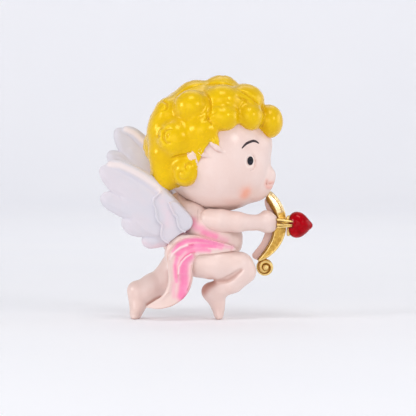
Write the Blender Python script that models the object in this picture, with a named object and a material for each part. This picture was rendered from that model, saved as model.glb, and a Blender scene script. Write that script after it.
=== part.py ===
"""A cast-resin cupid with a bow, 80 mm tall, as its separately cast pieces and their pegs.

The frame: +X is the way the figure faces, +Y its left, +Z up. The origin lies on the resting
plane, under the middle of the whole figure. Shapes are drawn in millimetres, and release()
turns each finished piece into metres.
"""

import math

import bmesh
import bpy
from mathutils import Matrix, Vector

MM = 0.001
GAP = 0.3  # glue gap between neighbouring castings
SPHERE_RINGS = 8  # rings of points on a small ball; a large one gets one for each millimetre of radius
VOXEL = 0.7
FINE_VOXEL = 0.55  # for the thin castings
HEART_VOXEL = 0.4

# Head: skull, full lower face, chin and snub muzzle, turned a little to the figure's right.
# A ball is (x, y, z, radius) or (x, y, z, radius x, radius y, radius z).
HEAD_SHAPES = [
    [(3.0, 0.0, 55.0, 18.2, 16.8, 19.0)],
    [(6.5, -0.8, 48.2, 15.0, 15.2, 11.9)],
    [(15.2, -2.6, 42.6, 4.1), (17.5, -2.9, 46.0, 4.6)],
    [(20.3, -3.4, 47.0, 2.2), (18.6, -3.2, 45.4, 3.2)],
]

# Hair: one (x, y, z, rx, ry, rz) for each big curl of the right side, in rows from the brow back.
SIDE_CURLS = [
    (13.6, -10.6, 66.2, 3.6, 3.8, 4.0),
    (12.6, -5.4, 72.8, 5.2, 5.0, 4.3),
    (4.8, -10.6, 72.2, 5.0, 4.6, 4.2),
    (4.8, -14.8, 66.2, 4.8, 4.2, 4.3),
    (-5.0, -12.2, 69.6, 5.2, 4.8, 5.0),
    (-13.4, -5.2, 69.4, 4.8, 5.0, 4.6),
    (-1.6, -16.0, 61.4, 3.8, 3.2, 4.2),
    (-9.8, -13.8, 59.2, 5.8, 5.0, 6.2),
    (-16.4, -7.0, 62.0, 4.6, 5.0, 5.0),
    (-6.6, -13.6, 48.7, 4.2, 3.8, 4.7),
    (-13.2, -7.2, 47.8, 4.8, 4.8, 5.6),
    (-12.6, -9.8, 53.6, 4.8, 4.6, 4.8),
    (2.4, -16.4, 58.6, 1.8, 1.6, 2.6),
    (20.0, -5.2, 64.6, 3.9, 4.6, 4.8),
]
MIDDLE_CURLS = [
    (21.0, 0.0, 65.0, 3.7, 4.6, 5.2),
    (4.6, -1.0, 75.8, 5.2, 5.4, 4.3),
    (-3.4, 1.0, 75.4, 5.8, 5.4, 3.7),
    (-17.0, 0.0, 66.6, 4.2, 5.0, 5.4),
    (-17.2, 0.0, 56.4, 4.2, 5.4, 5.6),
    (-15.0, 0.0, 47.6, 4.2, 5.2, 5.8),
    (-10.4, 0.0, 72.0, 4.8, 5.0, 4.2),
]
SCALP = [(0.6, 0.0, 58.4, 19.4, 17.6, 19.2)]
# The face side of the hairline, from the forehead round to the nape, in the XZ plane.
HAIRLINE = [
    (40, 61.0), (19, 62.0), (11, 65.0), (3.5, 62.6), (0.0, 57.5),
    (-3.0, 51.0), (-5.0, 44.0), (-8.0, 30.0), (40, 30.0),
]

TORSO_SHAPES = [
    [(1.6, 0.0, 26.2, 10.2, 8.6, 8.6), (-0.8, 0.0, 32.0, 7.6, 7.4, 5.0)],
    [(-6.8, 0.0, 33.4, 6.2, 6.6, 6.4), (-5.0, 0.0, 21.4, 9.0, 8.4, 7.2)],
]

RIGHT_ARM = [
    (-1.4, -7.4, 32.2, 4.2),
    (7.6, -9.4, 32.4, 3.7),
    (15.6, -6.4, 31.8, 2.5),
    (19.8, -2.8, 32.0, 3.4, 3.6, 3.7),
]
RIGHT_KNUCKLES = [(19.8, -3.0, 33.0, 2.7), (20.8, -2.6, 30.9, 2.6)]
LEFT_ARM = [
    (-1.4, 7.4, 32.0, 4.2),
    (5.6, 11.6, 30.4, 3.2),
    (10.8, 3.4, 31.0, 2.4),
    (12.6, -1.6, 31.4, 2.6),
]

RIGHT_LEG = [
    (-2.2, -4.6, 19.2, 5.8, 5.6, 5.8),
    (3.6, -5.6, 17.4, 5.4, 5.2, 4.9),
    (11.4, -5.4, 16.9, 4.7, 4.7, 5.0),
    (9.8, -4.9, 12.6, 3.4, 3.6, 3.5),
    (4.4, -3.2, 9.0, 3.0, 3.2, 3.0),
]
RIGHT_FOOT = [
    (1.1, -2.6, 8.9, 2.6, 2.8, 2.6),
    (3.5, -1.6, 4.4, 2.3, 3.4, 2.2),
    (3.9, -0.4, 0.7, 1.6, 4.3, 1.5),
]
LEFT_LEG = [
    (-7.2, 3.6, 19.6, 6.8, 5.8, 6.4),
    (-12.4, 3.4, 13.2, 5.0, 4.8, 5.2),
    (-18.2, 2.8, 10.6, 4.2, 4.0, 4.2),
    (-22.8, 2.0, 9.2, 3.0, 3.2, 2.7),
]
LEFT_FOOT = [
    (-23.6, 1.8, 9.0, 2.5, 2.9, 2.6),
    (-22.7, 1.2, 4.4, 2.4, 3.4, 2.4),
    (-23.6, 0.4, 0.7, 1.6, 4.3, 1.5),
]

# Wing feathers of the right wing as flat balls (x, z, radius, half thickness) from root to tip.
WING_ROOT = (-9.0, 33.0)
FEATHERS = [
    [(-12.0, 36.6, 3.6, 1.3), (-31.0, 47.1, 3.7, 1.1)],
    [(-13.5, 33.0, 4.0, 1.3), (-31.0, 39.0, 3.6, 1.0)],
    [(-12.0, 31.5, 4.0, 1.3), (-24.2, 31.2, 3.5, 1.0)],
    [(-12.0, 28.6, 2.4, 1.3), (-18.9, 26.0, 2.4, 0.9)],
    [(-9.4, 37.6, 1.5, 1.1), (-30.4, 49.8, 2.1, 0.9)],
]
COVERTS = [
    [(-12.6, 37.2, 3.9, 1.8), (-9.0, 33.0, 4.4, 1.9)],
    [(-12.4, 30.4, 3.6, 1.8), (-9.0, 33.0, 4.4, 1.9)],
]
WING_PLANE = 9.4  # distance of the wing's middle plane from the figure's, at the root
WING_FLARE = 8.0  # degrees the wing opens away from the body towards its tips
LEFT_WING_LIFT = 20.0  # degrees the left wing is raised above the right
LEFT_WING_SHIFT = (-3.0, 4.5)

# Sash: flat balls (x, y, z, rx, ry, rz) along the drape, the tail, the back band and the far hip.
SASH_DRAPE = [
    (8.8, -6.6, 23.6, 1.2, 1.3, 1.0),
    (4.6, -8.4, 24.3, 2.4, 1.4, 1.9),
    (-0.6, -9.0, 24.6, 2.6, 1.5, 2.8),
    (-5.6, -9.0, 24.0, 3.4, 1.6, 3.7),
    (-8.8, -8.8, 21.0, 4.1, 1.7, 4.0),
    (-8.9, -8.4, 15.6, 3.9, 1.6, 3.6),
    (-9.4, -7.8, 11.0, 4.0, 1.5, 3.4),
    (-12.2, -7.2, 7.6, 3.2, 1.4, 2.8),
    (-16.0, -6.8, 5.6, 2.4, 1.2, 1.5),
    (-19.2, -6.6, 4.6, 1.1, 1.0, 0.7),
]
SASH_BAND = [
    (-8.8, -8.2, 25.0, 2.2, 1.6, 2.3),
    (-12.6, -5.0, 25.4, 1.5, 1.8, 2.0),
    (-13.2, 0.0, 25.6, 1.4, 2.0, 2.0),
    (-12.6, 5.0, 25.4, 1.5, 1.8, 2.0),
    (-8.4, 8.4, 24.6, 2.6, 1.5, 2.6),
    (-2.6, 9.0, 24.2, 3.0, 1.4, 2.6),
    (4.0, 8.4, 23.8, 2.0, 1.3, 1.8),
    (8.4, 6.6, 23.4, 1.2, 1.2, 1.0),
]

# Bow: a tapering arc in the XZ plane with a thin web behind it, and a scroll on the lower tip.
BOW_CENTRE = (12.8, 31.4)
BOW_OUTER = 13.1
BOW_DEPTH = 3.9
BOW_TIP_DEPTH = 1.9
BOW_WEB = 1.5
BOW_WEB_FACE = 0.2
BOW_TOP = 52.0
BOW_BOTTOM = -62.0
BOW_STEPS = 22
BOW_FACE = -1.4
BOW_BACK = 2.6
SCROLL = (19.3, 17.0)
SCROLL_RADIUS = 2.75
SCROLL_NECK = [(17.2, 21.0), (20.2, 21.4), (21.3, 18.4), (16.7, 16.8)]

# Arrow: it lies along X beside the bow, its tail in the left hand and its neck in the right.
ARROW_Y = -3.1
ARROW_Z = 31.9
ARROW_TAIL = 10.6
ARROW_RADIUS = 0.9
FERRULE = ((22.4, 1.25), (27.0, 0.85))
COLLAR = (26.3, 27.4, 3.3)
SPIGOT_END = 30.4
SPIGOT_RADIUS = 0.6
HEART_SHAPES = [
    [(29.4, 32.4, 2.9, 2.5), (33.5, 30.9, 1.05, 0.9)],
    [(29.2, 29.6, 2.9, 2.5), (33.5, 30.7, 1.05, 0.9)],
]

NECK_DOWEL = ((-1.0, 0.0, 30.0), (-1.0, 0.0, 43.0))
NECK_DOWEL_RADIUS = 1.5
WING_PIN_RADIUS = 0.7
WING_PIN_INSIDE = 3.6  # how far from the middle plane a wing pin starts
TENON_RADIUS = 1.4
LEFT_SHOULDER_TENON = ((-1.4, 7.0, 31.6), (-1.2, 1.8, 28.2))
RIGHT_SHOULDER_TENON = ((-1.4, -7.0, 31.6), (-1.2, -1.8, 28.2))
RIGHT_HIP_TENON = ((-4.0, -4.0, 19.0), (-4.5, -3.6, 26.0))
LEFT_HIP_TENON = ((-7.2, 3.8, 20.0), (-6.4, 3.4, 28.5))

# Triangles that each casting is reduced to.
DETAIL = {
    "head": 1000, "scalp": 900, "hair": 2000, "torso": 600, "arm": 420, "leg": 540, "wing": 640,
    "sash": 620, "heart": 420,
}

PAINT = {
    "flesh": ((0.80, 0.56, 0.48, 1), 0.42, 0.0),
    "hair": ((0.76, 0.46, 0.02, 1), 0.18, 0.0),
    "wing": ((0.78, 0.75, 0.80, 1), 0.45, 0.0),
    "sash": ((0.86, 0.24, 0.42, 1), 0.38, 0.0),
    "gold": ((0.60, 0.36, 0.08, 1), 0.28, 0.9),
    "heart": ((0.50, 0.01, 0.02, 1), 0.12, 0.0),
    "steel": ((0.55, 0.55, 0.56, 1), 0.35, 1.0),
}


def clear_scene():
    for obj in list(bpy.data.objects):
        bpy.data.objects.remove(obj)


def paint(name):
    """The Principled material of one paint, made once."""
    known = bpy.data.materials.get(name)
    if known:
        return known
    colour, roughness, metallic = PAINT[name]
    material = bpy.data.materials.new(name)
    material.use_nodes = True
    shader = material.node_tree.nodes["Principled BSDF"]
    shader.inputs["Base Color"].default_value = colour
    shader.inputs["Roughness"].default_value = roughness
    shader.inputs["Metallic"].default_value = metallic
    return material


def new_object(name, bm):
    mesh = bpy.data.meshes.new(name)
    bmesh.ops.recalc_face_normals(bm, faces=bm.faces)
    bmesh.ops.triangulate(bm, faces=bm.faces)
    bm.to_mesh(mesh)
    bm.free()
    obj = bpy.data.objects.new(name, mesh)
    bpy.context.scene.collection.objects.link(obj)
    return obj


def bake(obj):
    """Replaces an object's mesh by what its modifiers make of it."""
    graph = bpy.context.evaluated_depsgraph_get()
    mesh = bpy.data.meshes.new_from_object(obj.evaluated_get(graph))
    obj.modifiers.clear()
    obj.data = mesh


def sphere_points(ball, grow):
    """Points on one ball or ellipsoid, rings and poles."""
    centre = Vector(ball[:3])
    radii = ball[3:] if len(ball) == 6 else ball[3:] * 3
    rings = max(SPHERE_RINGS, round(max(radii)))
    points = []
    for ring in range(rings + 1):
        polar = math.pi * ring / rings
        sides = 2 * rings if 0 < ring < rings else 1
        for side in range(sides):
            around = 2 * math.pi * side / sides
            direction = Vector((
                math.sin(polar) * math.cos(around),
                math.sin(polar) * math.sin(around),
                math.cos(polar),
            ))
            points.append(centre + Vector((r + grow) * d for r, d in zip(radii, direction)))
    return points


def add_hull(bm, balls, grow):
    """Adds the convex hull round the balls to bm, as a closed shell of its own."""
    part = bmesh.new()
    for ball in balls:
        for point in sphere_points(ball, grow):
            part.verts.new(point)
    bmesh.ops.convex_hull(part, input=part.verts)
    inner = [v for v in part.verts if not v.link_faces]
    bmesh.ops.delete(part, geom=inner, context="VERTS")
    mesh = bpy.data.meshes.new("hull")
    part.to_mesh(mesh)
    part.free()
    bm.from_mesh(mesh)
    bpy.data.meshes.remove(mesh)


def chain(balls):
    """The pairs of neighbouring balls of a limb."""
    return [list(pair) for pair in zip(balls, balls[1:])]


def cast(name, shapes, triangles, grow=0.0, voxel=VOXEL, smooth=2):
    """One closed skin over the hull of each shape, smoothed and brought down to a triangle count."""
    bm = bmesh.new()
    for balls in shapes:
        add_hull(bm, balls, grow)
    obj = new_object(name, bm)
    skin(obj, triangles, voxel, smooth)
    return obj


def skin(obj, triangles, voxel, smooth):
    remesh = obj.modifiers.new("skin", "REMESH")
    remesh.mode = "VOXEL"
    remesh.voxel_size = voxel
    soften = obj.modifiers.new("soften", "SMOOTH")
    soften.factor = 0.5
    soften.iterations = smooth
    bake(obj)
    count = 2 * len(obj.data.polygons)
    fewer = obj.modifiers.new("fewer", "DECIMATE")
    fewer.ratio = min(1.0, triangles / count)
    bake(obj)


def boolean(obj, other, operation):
    """Cuts or joins another object into this one, and removes the other."""
    modifier = obj.modifiers.new("boolean", "BOOLEAN")
    modifier.operation = operation
    modifier.solver = "EXACT"
    modifier.object = other
    bake(obj)
    bpy.data.objects.remove(other)


def round_bar(start, end, radius, sides=14):
    """A closed cylinder between two points."""
    start, end = Vector(start), Vector(end)
    along = end - start
    bm = bmesh.new()
    turn = along.to_track_quat("Z", "Y").to_matrix().to_4x4()
    place = Matrix.Translation((start + end) / 2) @ turn
    bmesh.ops.create_cone(
        bm, cap_ends=True, segments=sides, radius1=radius, radius2=radius,
        depth=along.length, matrix=place,
    )
    return new_object("bar", bm)


def drill(obj, start, end, radius):
    """A blind hole for a bar of this radius, with the glue gap round it and past its end."""
    start, end = Vector(start), Vector(end)
    deeper = end + (end - start).normalized() * GAP
    boolean(obj, round_bar(start, deeper, radius + GAP), "DIFFERENCE")


def peg(obj, start, end, radius):
    boolean(obj, round_bar(start, end, radius), "UNION")


def prism(name, outline, low, high):
    """An outline in the XZ plane, extruded along Y."""
    bm = bmesh.new()
    verts = [bm.verts.new((x, low, z)) for x, z in outline]
    face = bm.faces.new(verts)
    made = bmesh.ops.extrude_face_region(bm, geom=[face])
    moved = [v for v in made["geom"] if isinstance(v, bmesh.types.BMVert)]
    bmesh.ops.translate(bm, vec=(0, high - low, 0), verts=moved)
    return new_object(name, bm)


def mirrored(ball):
    return (ball[0], -ball[1], *ball[2:])


def limb_shapes(joints, end):
    return chain(joints) + chain(end)


def tool(name):
    """The outer shape of one casting, grown by the glue gap, to cut its neighbours with."""
    grown = {
        "head": lambda: cast("tool", HEAD_SHAPES, DETAIL["head"], GAP),
        "torso": lambda: cast("tool", TORSO_SHAPES, DETAIL["torso"], GAP),
        "hair": lambda: hair_mass("tool", DETAIL["hair"], GAP),
        "right_arm": lambda: cast("tool", limb_shapes(RIGHT_ARM, RIGHT_KNUCKLES), DETAIL["arm"], GAP),
        "left_arm": lambda: cast("tool", chain(LEFT_ARM), DETAIL["arm"], GAP),
        "right_leg": lambda: cast("tool", limb_shapes(RIGHT_LEG, RIGHT_FOOT), DETAIL["leg"], GAP),
        "left_leg": lambda: cast("tool", limb_shapes(LEFT_LEG, LEFT_FOOT), DETAIL["leg"], GAP),
        "right_wing": lambda: cast("tool", wing_shapes(-1), DETAIL["wing"], GAP, FINE_VOXEL, 1),
        "left_wing": lambda: cast("tool", wing_shapes(1), DETAIL["wing"], GAP, FINE_VOXEL, 1),
        "ferrule": lambda: ferrule(GAP),
        "bow": lambda: bow_limb("tool", GAP),
    }
    return grown[name]()


def clear(obj, *neighbours):
    """Cuts an object back from each of its neighbours."""
    for name in neighbours:
        boolean(obj, tool(name), "DIFFERENCE")


def hair_shapes():
    curls = SIDE_CURLS + [mirrored(c) for c in SIDE_CURLS] + MIDDLE_CURLS
    return [[curl] for curl in curls]


def hair_mass(name, triangles, grow=0.0):
    """Curls over a scalp that stops at the hairline."""
    scalp = cast("scalp", [SCALP], DETAIL["scalp"], grow)
    boolean(scalp, prism("face", HAIRLINE, -40, 40), "DIFFERENCE")
    bm = bmesh.new()
    for balls in hair_shapes():
        add_hull(bm, balls, grow)
    bm.from_mesh(scalp.data)
    bpy.data.objects.remove(scalp)
    obj = new_object(name, bm)
    skin(obj, triangles, VOXEL, 1)
    return obj


def make_head():
    head = cast("head", HEAD_SHAPES, DETAIL["head"])
    drill(head, *NECK_DOWEL, NECK_DOWEL_RADIUS)
    return head


def make_hair():
    hair = hair_mass("hair", DETAIL["hair"])
    clear(hair, "head")
    return hair


def make_torso():
    torso = cast("torso", TORSO_SHAPES, DETAIL["torso"])
    clear(torso, "head", "right_leg", "left_leg", "right_arm", "left_arm")
    drill(torso, *reversed(NECK_DOWEL), NECK_DOWEL_RADIUS)
    for outer, inner in (LEFT_SHOULDER_TENON, RIGHT_SHOULDER_TENON, LEFT_HIP_TENON, RIGHT_HIP_TENON):
        drill(torso, outer, inner, TENON_RADIUS)
    for side in (-1, 1):
        start, end = wing_pin(side)
        drill(torso, end, start, WING_PIN_RADIUS)
    return torso


def make_right_arm():
    arm = cast("right_arm", limb_shapes(RIGHT_ARM, RIGHT_KNUCKLES), DETAIL["arm"])
    clear(arm, "head", "bow", "ferrule")
    drill(arm, (36, ARROW_Y, ARROW_Z), (ARROW_TAIL, ARROW_Y, ARROW_Z), ARROW_RADIUS)
    peg(arm, *RIGHT_SHOULDER_TENON, TENON_RADIUS)
    return arm


def make_left_arm():
    arm = cast("left_arm", chain(LEFT_ARM), DETAIL["arm"])
    clear(arm, "head")
    drill(arm, (36, ARROW_Y, ARROW_Z), (ARROW_TAIL, ARROW_Y, ARROW_Z), ARROW_RADIUS)
    peg(arm, *LEFT_SHOULDER_TENON, TENON_RADIUS)
    return arm


def make_leg(name, joints, foot, tenon, side):
    """A leg with flat soles, kept to its own side of the middle plane at the hip."""
    leg = cast(name, limb_shapes(joints, foot), DETAIL["leg"])
    below = prism("below", [(-60, -9), (60, -9), (60, 0), (-60, 0)], -40, 40)
    boolean(leg, below, "DIFFERENCE")
    low, high = sorted((-side * 30.0, side * GAP / 2))
    other_side = prism("other_side", [(-16, 12.2), (14, 12.2), (14, 30), (-16, 30)], low, high)
    boolean(leg, other_side, "DIFFERENCE")
    peg(leg, *tenon, TENON_RADIUS)
    return leg


def wing_y(x, side):
    """Where the wing's middle plane lies at a distance behind its root."""
    flare = (WING_ROOT[0] - x) * math.tan(math.radians(WING_FLARE))
    return side * (WING_PLANE + max(flare, -0.4))


def wing_place(x, z, side):
    """A point of the wing pattern, lifted and shifted on the left side."""
    if side < 0:
        return x, z
    lift = math.radians(LEFT_WING_LIFT)
    dx, dz = x - WING_ROOT[0], z - WING_ROOT[1]
    turned_x = dx * math.cos(lift) + dz * math.sin(lift)
    turned_z = dz * math.cos(lift) - dx * math.sin(lift)
    return (
        WING_ROOT[0] + turned_x + LEFT_WING_SHIFT[0],
        WING_ROOT[1] + turned_z + LEFT_WING_SHIFT[1],
    )


def wing_shapes(side):
    shapes = []
    for feather in FEATHERS + COVERTS:
        balls = []
        for x, z, radius, half in feather:
            place_x, place_z = wing_place(x, z, side)
            balls.append((place_x, wing_y(x, side), place_z, radius, half, radius))
        shapes.append(balls)
    return shapes


def wing_pin(side):
    """Both ends of the steel pin between the back and one wing."""
    x, z = WING_ROOT if side < 0 else (WING_ROOT[0] - 1.0, WING_ROOT[1] + 1.6)
    return (x, side * WING_PIN_INSIDE, z), (x, side * (WING_PLANE + 0.9), z)


def make_wing(name, side):
    wing = cast(name, wing_shapes(side), DETAIL["wing"], voxel=FINE_VOXEL, smooth=1)
    clear(wing, "hair", "torso", "right_arm", "left_arm")
    start, end = wing_pin(side)
    drill(wing, start, end, WING_PIN_RADIUS)
    return wing


def make_sash():
    shapes = chain(SASH_DRAPE) + chain(SASH_BAND)
    sash = cast("sash", shapes, DETAIL["sash"], voxel=FINE_VOXEL, smooth=1)
    clear(sash, "torso", "right_leg", "left_leg", "right_arm", "right_wing", "left_wing")
    return sash


def bow_section(share, grow):
    """Corners (radius, y) of the limb's L-shaped section: the gold front and the web behind it."""
    swell = math.sin(math.pi * share) ** 0.6
    inner = BOW_OUTER - BOW_TIP_DEPTH - (BOW_DEPTH - BOW_TIP_DEPTH) * swell - grow
    web = inner - BOW_WEB * swell - 0.02
    outer = BOW_OUTER + grow
    low, middle, high = BOW_FACE - grow, BOW_WEB_FACE - grow, BOW_BACK + grow
    return [(outer, low), (outer, high), (web, high), (web, middle), (inner, middle), (inner, low)]


def bow_limb(name, grow=0.0):
    """The bow's arc, swept in the XZ plane."""
    bm = bmesh.new()
    sections = []
    for step in range(BOW_STEPS + 1):
        share = step / BOW_STEPS
        angle = math.radians(BOW_TOP + (BOW_BOTTOM - BOW_TOP) * share)
        corners = []
        for radius, y in bow_section(share, grow):
            x = BOW_CENTRE[0] + radius * math.cos(angle)
            z = BOW_CENTRE[1] + radius * math.sin(angle)
            corners.append(bm.verts.new((x, y, z)))
        sections.append(corners)
    for near, far in zip(sections, sections[1:]):
        for side in range(len(near)):
            after = (side + 1) % len(near)
            bm.faces.new((near[side], near[after], far[after], far[side]))
    bm.faces.new(sections[0])
    bm.faces.new(sections[-1])
    return new_object(name, bm)


def make_bow():
    bow = bow_limb("bow")
    neck = prism("neck", SCROLL_NECK, BOW_FACE + 0.05, BOW_BACK - 0.65)
    boolean(bow, neck, "UNION")
    x, z = SCROLL
    scroll = round_bar((x, BOW_FACE - 0.2, z), (x, BOW_BACK - 0.7, z), SCROLL_RADIUS, 24)
    boolean(bow, scroll, "UNION")
    eye = round_bar((x, BOW_FACE - 0.7, z), (x, BOW_BACK - 0.9, z), SCROLL_RADIUS * 0.42, 16)
    boolean(bow, eye, "UNION")
    clear(bow, "head", "right_leg")
    return bow


def turned(name, profile, sides=20):
    """A closed body turned about the arrow's axis, from (x, radius) stations."""
    bm = bmesh.new()
    rings = []
    for x, radius in profile:
        ring = []
        for side in range(sides):
            angle = 2 * math.pi * side / sides
            y = ARROW_Y + radius * math.cos(angle)
            z = ARROW_Z + radius * math.sin(angle)
            ring.append(bm.verts.new((x, y, z)))
        rings.append(ring)
    for near, far in zip(rings, rings[1:]):
        for side in range(sides):
            after = (side + 1) % sides
            bm.faces.new((near[side], near[after], far[after], far[side]))
    bm.faces.new(rings[0])
    bm.faces.new(rings[-1])
    return new_object(name, bm)


def ferrule(grow=0.0):
    (low, wide), (high, narrow) = FERRULE
    return turned("ferrule", [(low - grow, wide + grow), (high + grow, narrow + grow)])


def make_arrow_shaft():
    (low, wide), (high, narrow) = FERRULE
    start, end, plate = COLLAR
    profile = [
        (ARROW_TAIL, ARROW_RADIUS), (low, ARROW_RADIUS), (low + 0.1, wide),
        (start - 0.1, narrow), (start, plate - 0.3), (start + 0.4, plate),
        (end - 0.3, plate - 0.2), (end, plate - 0.6), (end + 0.05, SPIGOT_RADIUS),
        (SPIGOT_END, SPIGOT_RADIUS),
    ]
    return turned("arrow_shaft", profile)


def make_heart():
    shapes = [[(x, ARROW_Y, z, r, half, r) for x, z, r, half in balls] for balls in HEART_SHAPES]
    heart = cast("arrow_heart", shapes, DETAIL["heart"], voxel=HEART_VOXEL, smooth=1)
    start, end, plate = COLLAR
    collar = turned("collar", [(start - GAP, plate + GAP), (end + GAP, plate + GAP)])
    boolean(heart, collar, "DIFFERENCE")
    drill(heart, (20, ARROW_Y, ARROW_Z), (SPIGOT_END, ARROW_Y, ARROW_Z), SPIGOT_RADIUS)
    return heart


def make_dowel():
    dowel = round_bar(*NECK_DOWEL, NECK_DOWEL_RADIUS)
    dowel.name = "neck_dowel"
    return dowel


def make_wing_pin(name, side):
    pin = round_bar(*wing_pin(side), WING_PIN_RADIUS)
    pin.name = name
    return pin


def release(pieces):
    """Centres the figure over its origin, and turns every piece into metres."""
    corners = [v.co for obj, _ in pieces for v in obj.data.vertices]
    middle = [(min(c[i] for c in corners) + max(c[i] for c in corners)) / 2 for i in (0, 1)]
    to_origin = Matrix.Translation((-middle[0], -middle[1], 0))
    for obj, paint_name in pieces:
        obj.data.transform(Matrix.Scale(MM, 4) @ to_origin)
        obj.data.materials.clear()
        obj.data.materials.append(paint(paint_name))
        obj.data.shade_smooth()
        obj.data.set_sharp_from_angle(angle=math.radians(40))


def main():
    clear_scene()
    pieces = [
        (make_head(), "flesh"),
        (make_hair(), "hair"),
        (make_torso(), "flesh"),
        (make_right_arm(), "flesh"),
        (make_left_arm(), "flesh"),
        (make_leg("right_leg", RIGHT_LEG, RIGHT_FOOT, RIGHT_HIP_TENON, -1), "flesh"),
        (make_leg("left_leg", LEFT_LEG, LEFT_FOOT, LEFT_HIP_TENON, 1), "flesh"),
        (make_wing("right_wing", -1), "wing"),
        (make_wing("left_wing", 1), "wing"),
        (make_sash(), "sash"),
        (make_bow(), "gold"),
        (make_arrow_shaft(), "gold"),
        (make_heart(), "heart"),
        (make_dowel(), "steel"),
        (make_wing_pin("right_wing_pin", -1), "steel"),
        (make_wing_pin("left_wing_pin", 1), "steel"),
    ]
    release(pieces)


main()
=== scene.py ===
"""The looks of the resin cupid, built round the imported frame.

The sculpted pieces are distance fields in millimetres, turned into meshes, so that joins are as
round as poured resin. Each replaces the plain CAD casting of the same name. +X is the way the
figure faces, -Y is its right side, the one the camera sees.
"""

import math
from collections import namedtuple

import bpy
import numpy as np
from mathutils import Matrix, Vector


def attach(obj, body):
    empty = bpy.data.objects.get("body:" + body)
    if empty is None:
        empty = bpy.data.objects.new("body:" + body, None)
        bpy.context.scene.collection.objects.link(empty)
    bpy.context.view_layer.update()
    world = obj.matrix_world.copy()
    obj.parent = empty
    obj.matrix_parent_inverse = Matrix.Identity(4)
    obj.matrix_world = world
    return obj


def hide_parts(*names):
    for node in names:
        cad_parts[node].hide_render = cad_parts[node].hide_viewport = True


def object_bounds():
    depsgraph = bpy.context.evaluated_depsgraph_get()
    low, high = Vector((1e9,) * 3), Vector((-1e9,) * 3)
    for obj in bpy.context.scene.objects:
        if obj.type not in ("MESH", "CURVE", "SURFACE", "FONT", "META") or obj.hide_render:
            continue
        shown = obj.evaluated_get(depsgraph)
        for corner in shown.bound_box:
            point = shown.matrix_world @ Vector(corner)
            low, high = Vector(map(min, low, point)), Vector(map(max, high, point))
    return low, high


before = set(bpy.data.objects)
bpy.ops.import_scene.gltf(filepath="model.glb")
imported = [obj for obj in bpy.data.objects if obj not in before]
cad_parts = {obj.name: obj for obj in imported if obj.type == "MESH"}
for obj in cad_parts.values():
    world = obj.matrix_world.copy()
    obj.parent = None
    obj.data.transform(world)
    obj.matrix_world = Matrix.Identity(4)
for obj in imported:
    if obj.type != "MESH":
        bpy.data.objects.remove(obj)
cad_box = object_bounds()

MM = 0.001
FAR = 60.0  # an empty block's distance to the nearest clay
SETTLE_STEPS = 12
LOOK = np.arange(-24.0, 24.0, 0.3)  # the Ys that a look along Y passes
WAIST_X = -1.0
EYE_HOLE = (1.35, 1.95)  # half its width and height
Shape = namedtuple("Shape", "low high distance")
CORNERS = np.array([[(n >> i) & 1 for i in range(3)] for n in range(8)])
CELL_EDGES = [(a, b) for a in range(8) for b in range(a + 1, 8)
              if np.abs(CORNERS[a] - CORNERS[b]).sum() == 1]


# ---------------------------------------------------------------- clay: distance fields

def soft_min(a, b, soft):
    """The smaller of two distances, with the join rounded over about the given width."""
    if soft <= 0:
        return np.minimum(a, b)
    near = np.maximum(soft - np.abs(a - b), 0) / soft
    return np.minimum(a, b) - near * near * soft / 4


def smooth_step(low, high, value):
    """0 below low and 1 above high, with an even curve between."""
    share = np.clip((value - low) / (high - low), 0, 1)
    return share * share * (3 - 2 * share)


class Clay:
    """A block of space on a grid, in which shapes are added and carved."""

    def __init__(self, low, high, step):
        self.step = step
        self.axes = [np.arange(a, b + step, step, dtype=np.float32) for a, b in zip(low, high)]
        self.field = np.full([len(a) for a in self.axes], FAR, np.float32)

    def join(self, shape, soft, sign):
        """Adds a shape where sign is 1 and cuts it away where it is -1, with a rounded join."""
        margin = soft + 2 * self.step
        cut = []
        for axis, low, high in zip(self.axes, shape.low - margin, shape.high + margin):
            first = max(int(np.searchsorted(axis, low)) - 1, 0)
            cut.append(slice(first, int(np.searchsorted(axis, high)) + 1))
        space = np.ix_(*(axis[part] for axis, part in zip(self.axes, cut)))
        old = sign * self.field[tuple(cut)]
        self.field[tuple(cut)] = sign * soft_min(old, shape.distance(*space), soft)

    def add(self, shape, soft):
        self.join(shape, soft, 1)

    def carve(self, shape, soft):
        self.join(shape, soft, -1)

    def add_balls(self, *balls):
        """Adds balls, each given by its centre, its radii and the softness of its join."""
        for *numbers, soft in balls:
            self.add(ball(*numbers), soft)

    def add_limbs(self, knots, soft):
        """Adds limbs from knot to knot (x, y, z, radius)."""
        for start, end in zip(knots, knots[1:]):
            self.add(limb(start, end), soft)

    def at(self, points):
        """The distance at any points, read between the samples."""
        places = np.stack([(points[:, i] - axis[0]) / self.step for i, axis in enumerate(self.axes)])
        whole = np.clip(places.astype(int), 0, np.array(self.field.shape)[:, None] - 2)
        share = np.clip(places - whole, 0, 1)
        value = np.zeros(len(points))
        for corner in CORNERS[:, :, None]:
            value += np.prod(np.where(corner, share, 1 - share), axis=0) * self.field[tuple(whole + corner)]
        return value

    def slope(self, points):
        """The outward direction at points."""
        slope = [self.at(points + move) - self.at(points - move) for move in np.eye(3) * self.step]
        slope = np.stack(slope, axis=1)
        return slope / np.maximum(np.linalg.norm(slope, axis=1, keepdims=True), 1e-9)

    def settle(self, points, lift=0.0):
        """Points moved along the slope until they lie on the surface, or the lift above it."""
        points = np.array(points, float)
        for _ in range(SETTLE_STEPS):
            points -= self.slope(points) * (self.at(points) - lift)[:, None]
        return points


def ball(x, y, z, rx, ry=None, rz=None):
    """A ball, or an ellipsoid with three radii."""
    ry, rz = ry or rx, rz or rx
    radii = np.array((rx, ry, rz), np.float32)

    def distance(px, py, pz):
        u, v, w = (px - x) / rx, (py - y) / ry, (pz - z) / rz
        level = np.sqrt(u * u + v * v + w * w)
        steep = np.sqrt((u / rx) ** 2 + (v / ry) ** 2 + (w / rz) ** 2)
        return level * (level - 1) / np.maximum(steep, 1e-4)

    centre = np.array((x, y, z))
    return Shape(centre - radii, centre + radii, distance)


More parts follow.
